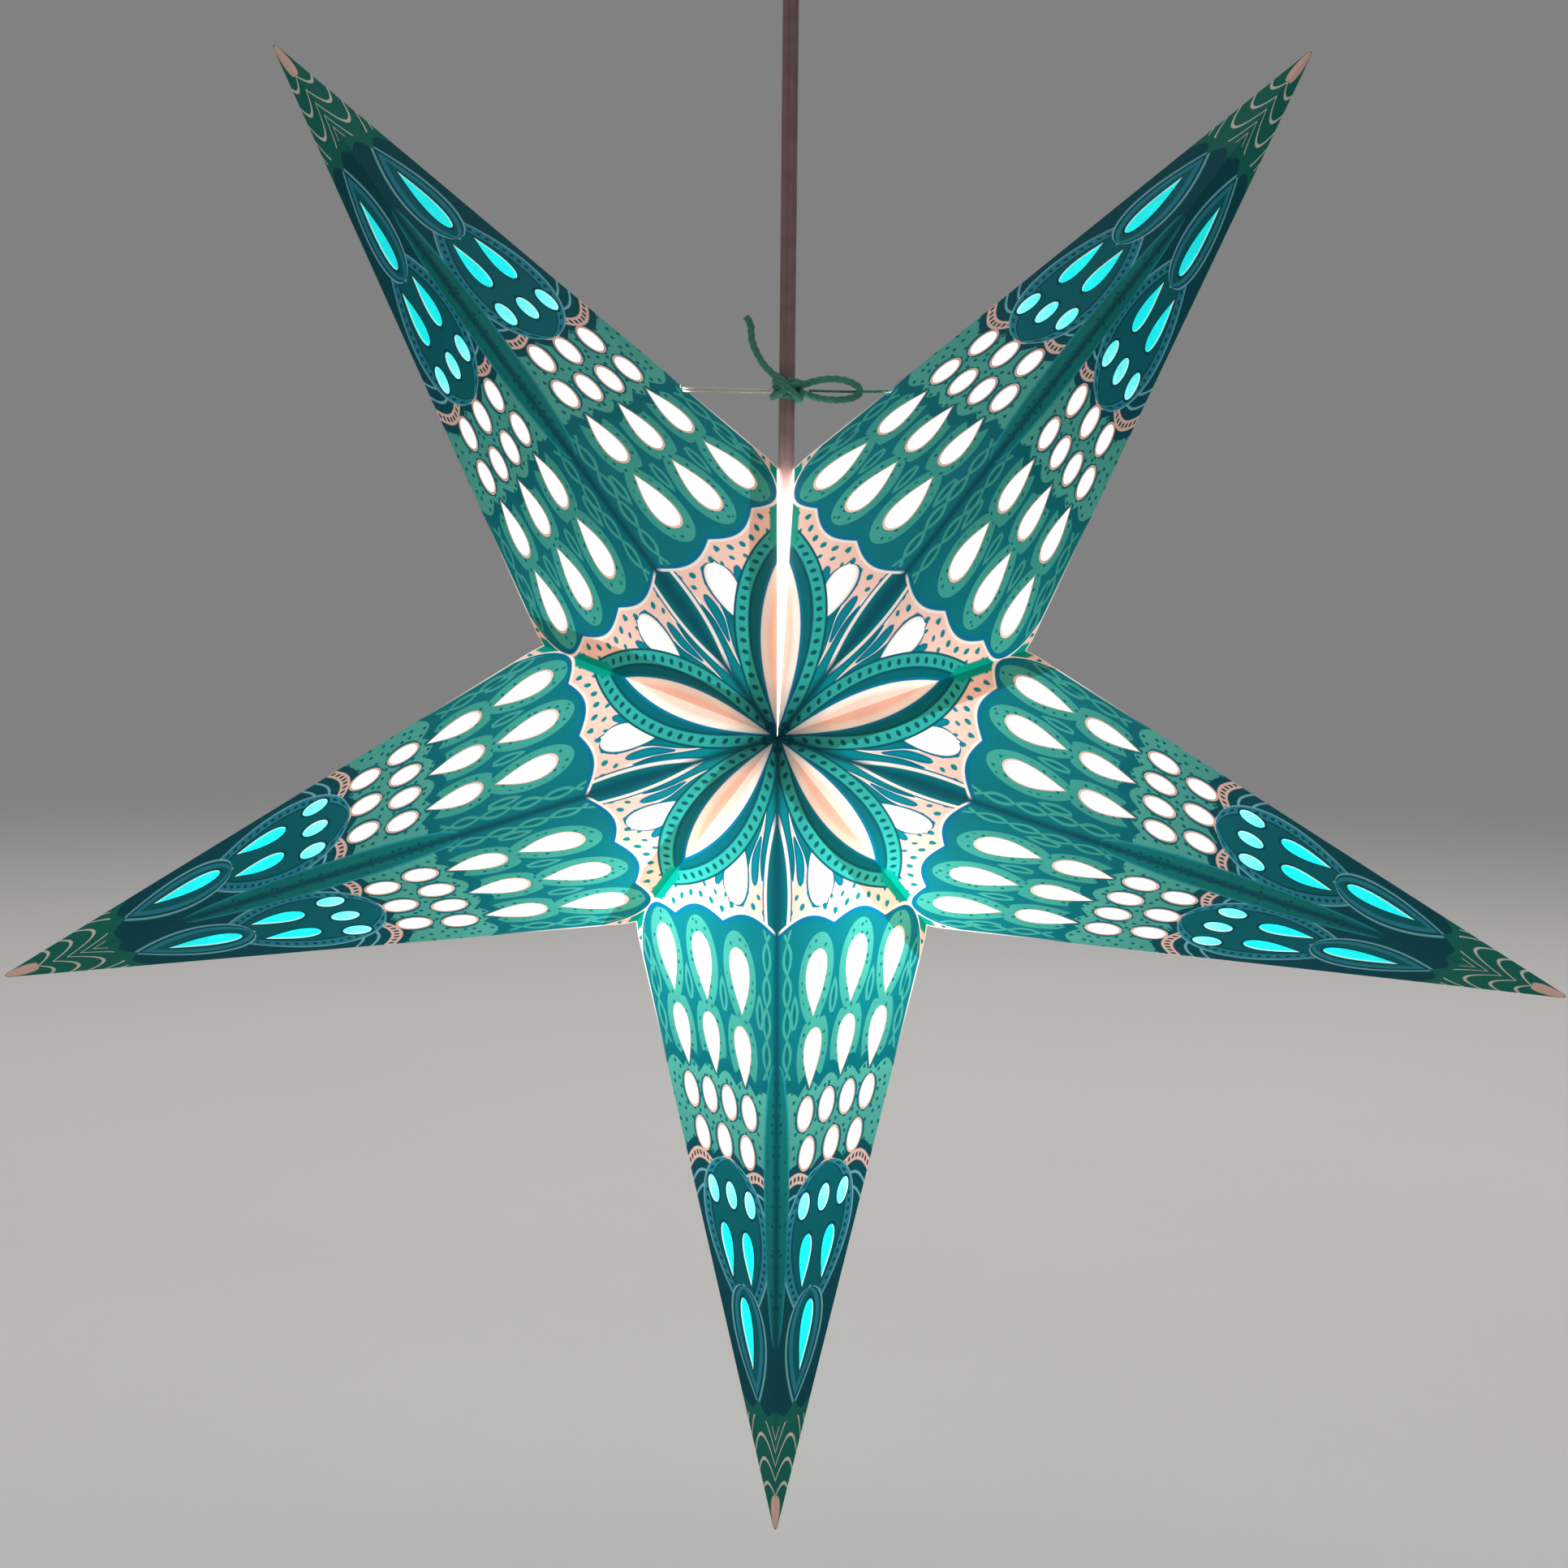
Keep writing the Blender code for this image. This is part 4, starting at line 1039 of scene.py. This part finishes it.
clouds = noise(place, 60, 5.0)
fibres = noise(place, 1400, 3.0)
density = 0.84 + clouds * 0.22 + fibres * 0.1
ink = scaled(ink, density)
feed(card_print, "Base Color", scaled(ink, UNLIT_SHARE))
feed(card_print, "Roughness", 0.5 + fibres * 0.25)
feed(card_print, "Normal", bump(fibres, 0.25, 0.00008))
# Painted shade: the lamp's light through the card is cut down and warmed within the tab's width of the
# valley on those cards.
glue_tab = place.node("Attribute", {"attribute_name": "glue_tab"}, {}, 2)
tab_shade = glue_tab * inside(TAB_WIDTH - from_valley, softness=0.6)
through = tab_shade.mix((1, 1, 1, 1), TAB_LIGHT)
# Painted shade: the light through the card fades to near dark round the apex, where the creases meet.
through = inside(15 - from_apex, softness=24).mix(through, APEX_LIGHT)
lit_ink = ink.node("VectorMath", {"operation": "MULTIPLY"}, {0: ink, 1: through})
feed(card_print, "Emission Color", scaled(lit_ink, lamp_glow(place)))
card_print.cycles.emission_sampling = "NONE"

card_core, place = finish("bare_card_stock", {"Emission Strength": EMISSION})
pulp = noise(place, 900, 4.0)
feed(card_core, "Base Color", pulp.mix(shade(246, 242, 234), shade(232, 226, 214)))
feed(card_core, "Roughness", 0.7 + pulp * 0.2)
feed(card_core, "Normal", bump(pulp, 0.3, 0.00006))
core_glow = lamp_glow(place)
feed(card_core, "Emission Color", core_glow.mix((0, 0, 0, 1), shade(255, 246, 236)))
card_core.cycles.emission_sampling = "NONE"

for card in CARDS:
    name = "_".join(card)
    build = star_card(*card)
    add_piece(f"printed_{name}", build, [card_print, card_core], "printed_card", name, f"card_{name}")


# Tissue liners: sheets of thin tissue glued behind the cut-outs, white near the middle and cyan outside.
# Each is cut back from the creases; lit, it shows its long fibres and thin spots.
LINER_MARGIN = 0.005
LINER_TIP = 0.055  # from the card's point to the end of its tissue
TISSUE = 0.00015
GLUE = 0.00005


def liner_sheet(arm, face, side):
    """One liner: a flat sheet close behind its card."""
    lay, corners = flat_card(arm, face, side)
    outline = blunt_triangle(corners, (LINER_MARGIN, LINER_MARGIN, LINER_MARGIN), LINER_TIP)
    build = bmesh.new()
    build.faces.new([build.verts.new((*point, -GLUE)) for point in outline])
    sunk = points_of(bmesh.ops.extrude_face_region(build, geom=build.faces[:]))
    bmesh.ops.translate(build, verts=sunk, vec=(0, 0, -TISSUE))
    bmesh.ops.transform(build, matrix=lay, verts=build.verts[:])
    bmesh.ops.recalc_face_normals(build, faces=build.faces[:])
    return build


CYAN_FROM = 0.173  # metres out from the star's middle
PALE_SLOPE = -50.0  # the cyan starts pale, and is deep 0.192 m out
PALE_START = 9.6
tissue, place = finish("lit_tissue", {"Emission Strength": EMISSION * 2})
star_middle = apexes["front"].copy()
star_middle.y = 0
flat_place = place.node("VectorMath", {"operation": "MULTIPLY"}, {0: place, 1: (1, 0, 1)})
outwards = distance(flat_place, star_middle)
cyan = outwards.math("GREATER_THAN", outwards, CYAN_FROM)
strands = noise(place, 700, 5.0)
thin = noise(place, 150, 4.0)
near = outwards.math("MULTIPLY_ADD", outwards, PALE_SLOPE, PALE_START, clamp=True)
pale = near * (0.3 + strands)
cyan_colour = pale.mix(shade(0, 236, 240), shade(150, 246, 248))
tissue_colour = cyan.mix(shade(255, 252, 248), cyan_colour)
feed(tissue, "Base Color", tissue_colour)
feed(tissue, "Roughness", 0.7 + strands * 0.2)
feed(tissue, "Normal", bump(strands, 0.4, 0.0001))
sheer = (0.3 + strands * 0.7 + thin * 0.7) * (1.6 - cyan * 0.4)
feed(tissue, "Emission Color", scaled(tissue_colour, lamp_glow(place) * sheer))
tissue.cycles.emission_sampling = "NONE"
for card in CARDS:
    name = "_".join(card)
    add_piece(f"tissue_{name}", liner_sheet(*card), [tissue], "tissue_paper", name, f"liner_{name}")


# Tie: teal cotton twine wrapped and knotted round the flex, with a bow loop and a loose tail.
# A doubled white string and a thin teal one run from the knot to holes in the upper arms' edges.
TWINE_RADIUS = 0.0014
THREAD_RADIUS = 0.0005
LOBES = 3
LOBE_DEPTH = 0.17
TWINE_TWIST = 700  # radians to the metre
SECTION_STEPS = 15
ROUTE_STEP = 0.45  # millimetres


def twine_outline(radius):
    """A section of three plies, which shows their twist as it turns along the twine."""
    outline = []
    for step in range(SECTION_STEPS):
        angle = 2 * math.pi * step / SECTION_STEPS
        reach = radius * (1 - LOBE_DEPTH * (0.5 - 0.5 * math.cos(LOBES * angle)))
        outline.append((reach * math.cos(angle), reach * math.sin(angle)))
    return outline


def smooth_route(points):
    """Points along a smooth curve through a given route."""
    points = [Vector(point) for point in points]
    smooth = []
    for i in range(len(points) - 1):
        before, start = points[max(i - 1, 0)], points[i]
        end, after = points[i + 1], points[min(i + 2, len(points) - 1)]
        steps = math.ceil((end - start).length / ROUTE_STEP)
        for step in range(steps):
            t = step / steps
            bend = 2 * before - 5 * start + 4 * end - after
            swing = 3 * start - before - 3 * end + after
            smooth.append(0.5 * (2 * start + (end - before) * t + bend * t**2 + swing * t**3))
    return [*smooth, points[-1]]


def twisted_frames(points, twist):
    """Frames along a route that turn by a twist in radians to the metre."""
    frames = []
    aside = Vector((0.3, 1, 0.2))  # any way that no route starts in
    turn = 0.0
    for i, point in enumerate(points):
        ahead = (points[min(i + 1, len(points) - 1)] - points[max(i - 1, 0)]).normalized()
        aside = (aside - aside.dot(ahead) * ahead).normalized()
        upright = Matrix((aside, ahead.cross(aside), ahead)).transposed().to_4x4()
        frames.append(Matrix.Translation(point) @ upright @ Matrix.Rotation(turn, 4, "Z"))
        if i + 1 < len(points):
            turn += twist * (points[i + 1] - point).length
    return frames


def twine(route, radius=TWINE_RADIUS):
    """A twisted strand along a route given in millimetres from the knot's middle."""
    points = [point / 1000 + Vector((0, 0, tie_level)) for point in smooth_route(route)]
    return swept(twine_outline(radius), twisted_frames(points, TWINE_TWIST))


teal, place = finish("teal_cotton_twine", {})
fuzz = noise(place, 2600, 3.0)
faded = noise(place, 160, 3.0)
teal_colour = faded.mix(shade(52, 134, 114), shade(104, 170, 150))
feed(teal, "Base Color", fuzz.mix(teal_colour, shade(28, 94, 82)))
feed(teal, "Roughness", 0.8 + fuzz * 0.15)
feed(teal, "Normal", bump(fuzz, 0.5, 0.0002))

white_thread, place = finish("white_cotton_string", {})
lint = noise(place, 2200, 3.0)
feed(white_thread, "Base Color", lint.mix(shade(226, 220, 208), shade(178, 170, 158)))
feed(white_thread, "Roughness", 0.8 + lint * 0.15)
feed(white_thread, "Normal", bump(lint, 0.5, 0.00015))

WRAP_X = 4.4
WRAP_Y = 3.2
WRAP_TURNS = 2.5
WRAP_POINTS = 24
WRAP_HEIGHT = 6.8
wrap = []
for step in range(WRAP_POINTS + 1):
    angle = 2 * math.pi * WRAP_TURNS * step / WRAP_POINTS
    rise = WRAP_HEIGHT * (step / WRAP_POINTS - 0.5)
    wrap.append((WRAP_X * math.sin(angle), WRAP_Y * math.cos(angle), rise))
knot = twine(wrap)
for crossing in (
    [(-5.4, -2.0, -2.6), (-3.4, -4.6, -2.0), (0.2, -5.7, 0.2), (3.4, -4.8, 2.0), (5.6, -2.4, 2.4)],
    [(-4.6, -2.2, 3.2), (-2.2, -5.6, 2.2), (1.4, -7.4, -0.6), (4.4, -5.4, -2.9), (4.9, -2.0, -3.6)],
):
    join(knot, twine(crossing))
add_piece("twine_knot", knot, [teal], "teal_twine", "lamp", "tie_knot")
loop = [
    (4.6, -3.6, 1.2),
    (8.0, -2.6, 2.6),
    (14.0, -2.1, 4.1),
    (20.5, -2.0, 4.0),
    (25.6, -2.0, 2.2),
    (27.3, -2.0, 0.0),
    (25.6, -2.0, -2.2),
    (20.5, -2.0, -3.4),
    (14.0, -2.1, -3.3),
    (8.5, -2.6, -2.0),
    (4.6, -3.8, -0.8),
]
add_piece("twine_bow_loop", twine(loop), [teal], "teal_twine", "lamp", "tie_loop")
loose_end = [
    (1.0, -5.2, 1.0),
    (-2.6, -4.0, 4.0),
    (-6.0, -2.4, 6.6),
    (-9.5, -2.0, 10.4),
    (-13.0, -2.0, 17.4),
    (-13.8, -2.0, 23.9),
    (-15.6, -2.0, 27.0),
]
add_piece("twine_tail", twine(loose_end), [teal], "teal_twine", "lamp", "tie_tail")
STRING_SHORT = 3.2  # each string ends in its hole, clear of the cards as they fold
STRAND_DROP = 1.05
string_low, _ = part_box("tie_string_left")
left_end = string_low.x * 1000 + STRING_SHORT
left_run = [(-WRAP_X - 1.6, 0, 0.55), (-20, 0, 0.45), (left_end, 0, 0.75)]
doubled = twine(left_run, THREAD_RADIUS)
join(doubled, twine([(x, y + 0.1, z - STRAND_DROP) for x, y, z in left_run], THREAD_RADIUS))
add_piece(
    "doubled_white_string",
    doubled,
    [white_thread],
    "white_string",
    "upper_left_front_left",
    "tie_string_left",
)
string_low, string_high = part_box("tie_string_right")
right_end = string_high.x * 1000 - STRING_SHORT
right_run = [(string_low.x * 1000 + 0.2, 0, 0), (22, 0, -0.25), (right_end, 0, 0)]
add_piece(
    "thin_teal_string",
    twine(right_run, THREAD_RADIUS),
    [teal],
    "teal_twine",
    "upper_right_front_right",
    "tie_string_right",
)


# Stage: a plain pale floor under the hanging star that fades out into a dim room, and three soft lights.
# The room is dim so that the lantern's own light shows.
FLOOR_LEVEL = -0.72
FLOOR_HALF = 5.0
FLOOR_SHARP = 1.0  # metres round the star that the floor is whole in
FLOOR_GONE = 4.6
floor_build = bmesh.new()
bmesh.ops.create_grid(floor_build, x_segments=1, y_segments=1, size=FLOOR_HALF)
bmesh.ops.translate(floor_build, verts=floor_build.verts[:], vec=(0, 0, FLOOR_LEVEL))
floor_mesh = bpy.data.meshes.new("studio_floor")
floor_build.to_mesh(floor_mesh)
floor_build.free()
floor_paint, place = finish("pale_floor_paint", {})
floor_haze = noise(place, 3, 4.0)
feed(floor_paint, "Base Color", floor_haze.mix(shade(236, 234, 230), shade(230, 228, 224)))
feed(floor_paint, "Roughness", 0.6 + floor_haze * 0.2)
outwards = place.node("VectorMath", {"operation": "LENGTH"}, {0: place}, 1)
fade = outwards.node(
    "MapRange",
    {"interpolation_type": "SMOOTHSTEP"},
    {0: outwards, 1: FLOOR_SHARP, 2: FLOOR_GONE},
)
feed(floor_paint, "Alpha", 1 - fade)
floor_mesh.materials.append(floor_paint)
studio_floor = bpy.data.objects.new("studio_floor", floor_mesh)
bpy.context.scene.collection.objects.link(studio_floor)

ROOM_GREY = 0.22
room = bpy.data.worlds.new("dim_room")
room.use_nodes = True
room.node_tree.nodes["Background"].inputs["Color"].default_value = (ROOM_GREY, ROOM_GREY, ROOM_GREY, 1)
bpy.context.scene.world = room
for name, spot, size, power in (
    ("overhead_light", (0.0, 1.0, 3.2), 8.0, 120.0),
    ("front_light", (-1.3, -1.7, 0.7), 1.8, 3.0),
    ("back_light", (0.6, 1.9, 0.8), 1.8, 3.0),
):
    lamp = bpy.data.lights.new(name, "AREA")
    lamp.size = size
    lamp.energy = power
    light = bpy.data.objects.new(name, lamp)
    light.location = spot
    light.rotation_euler = (star_middle - Vector(spot)).to_track_quat("-Z", "Y").to_euler()
    bpy.context.scene.collection.objects.link(light)

CAMERA_OFFSET = Vector((0.0176, -0.9208, 0.0490))
CAMERA_AIM = Vector((-0.0186, 0.9967, -0.0791))
CAMERA_UP = Vector((-0.0118, 0.0789, 0.9968))
FOCAL_PIXELS = 3000
IMAGE_PIXELS = 1932
lens = bpy.data.cameras.new("photo_camera")
lens.sensor_width = 36
lens.lens = lens.sensor_width * FOCAL_PIXELS / IMAGE_PIXELS
camera = bpy.data.objects.new("photo_camera", lens)
sideways = CAMERA_AIM.cross(CAMERA_UP).normalized()
facing = Matrix((sideways, sideways.cross(CAMERA_AIM), -CAMERA_AIM)).transposed().to_4x4()
camera.matrix_world = Matrix.Translation(star_middle + CAMERA_OFFSET) @ facing
bpy.context.scene.collection.objects.link(camera)
bpy.context.scene.camera = camera
bpy.context.scene.view_settings.view_transform = "Standard"
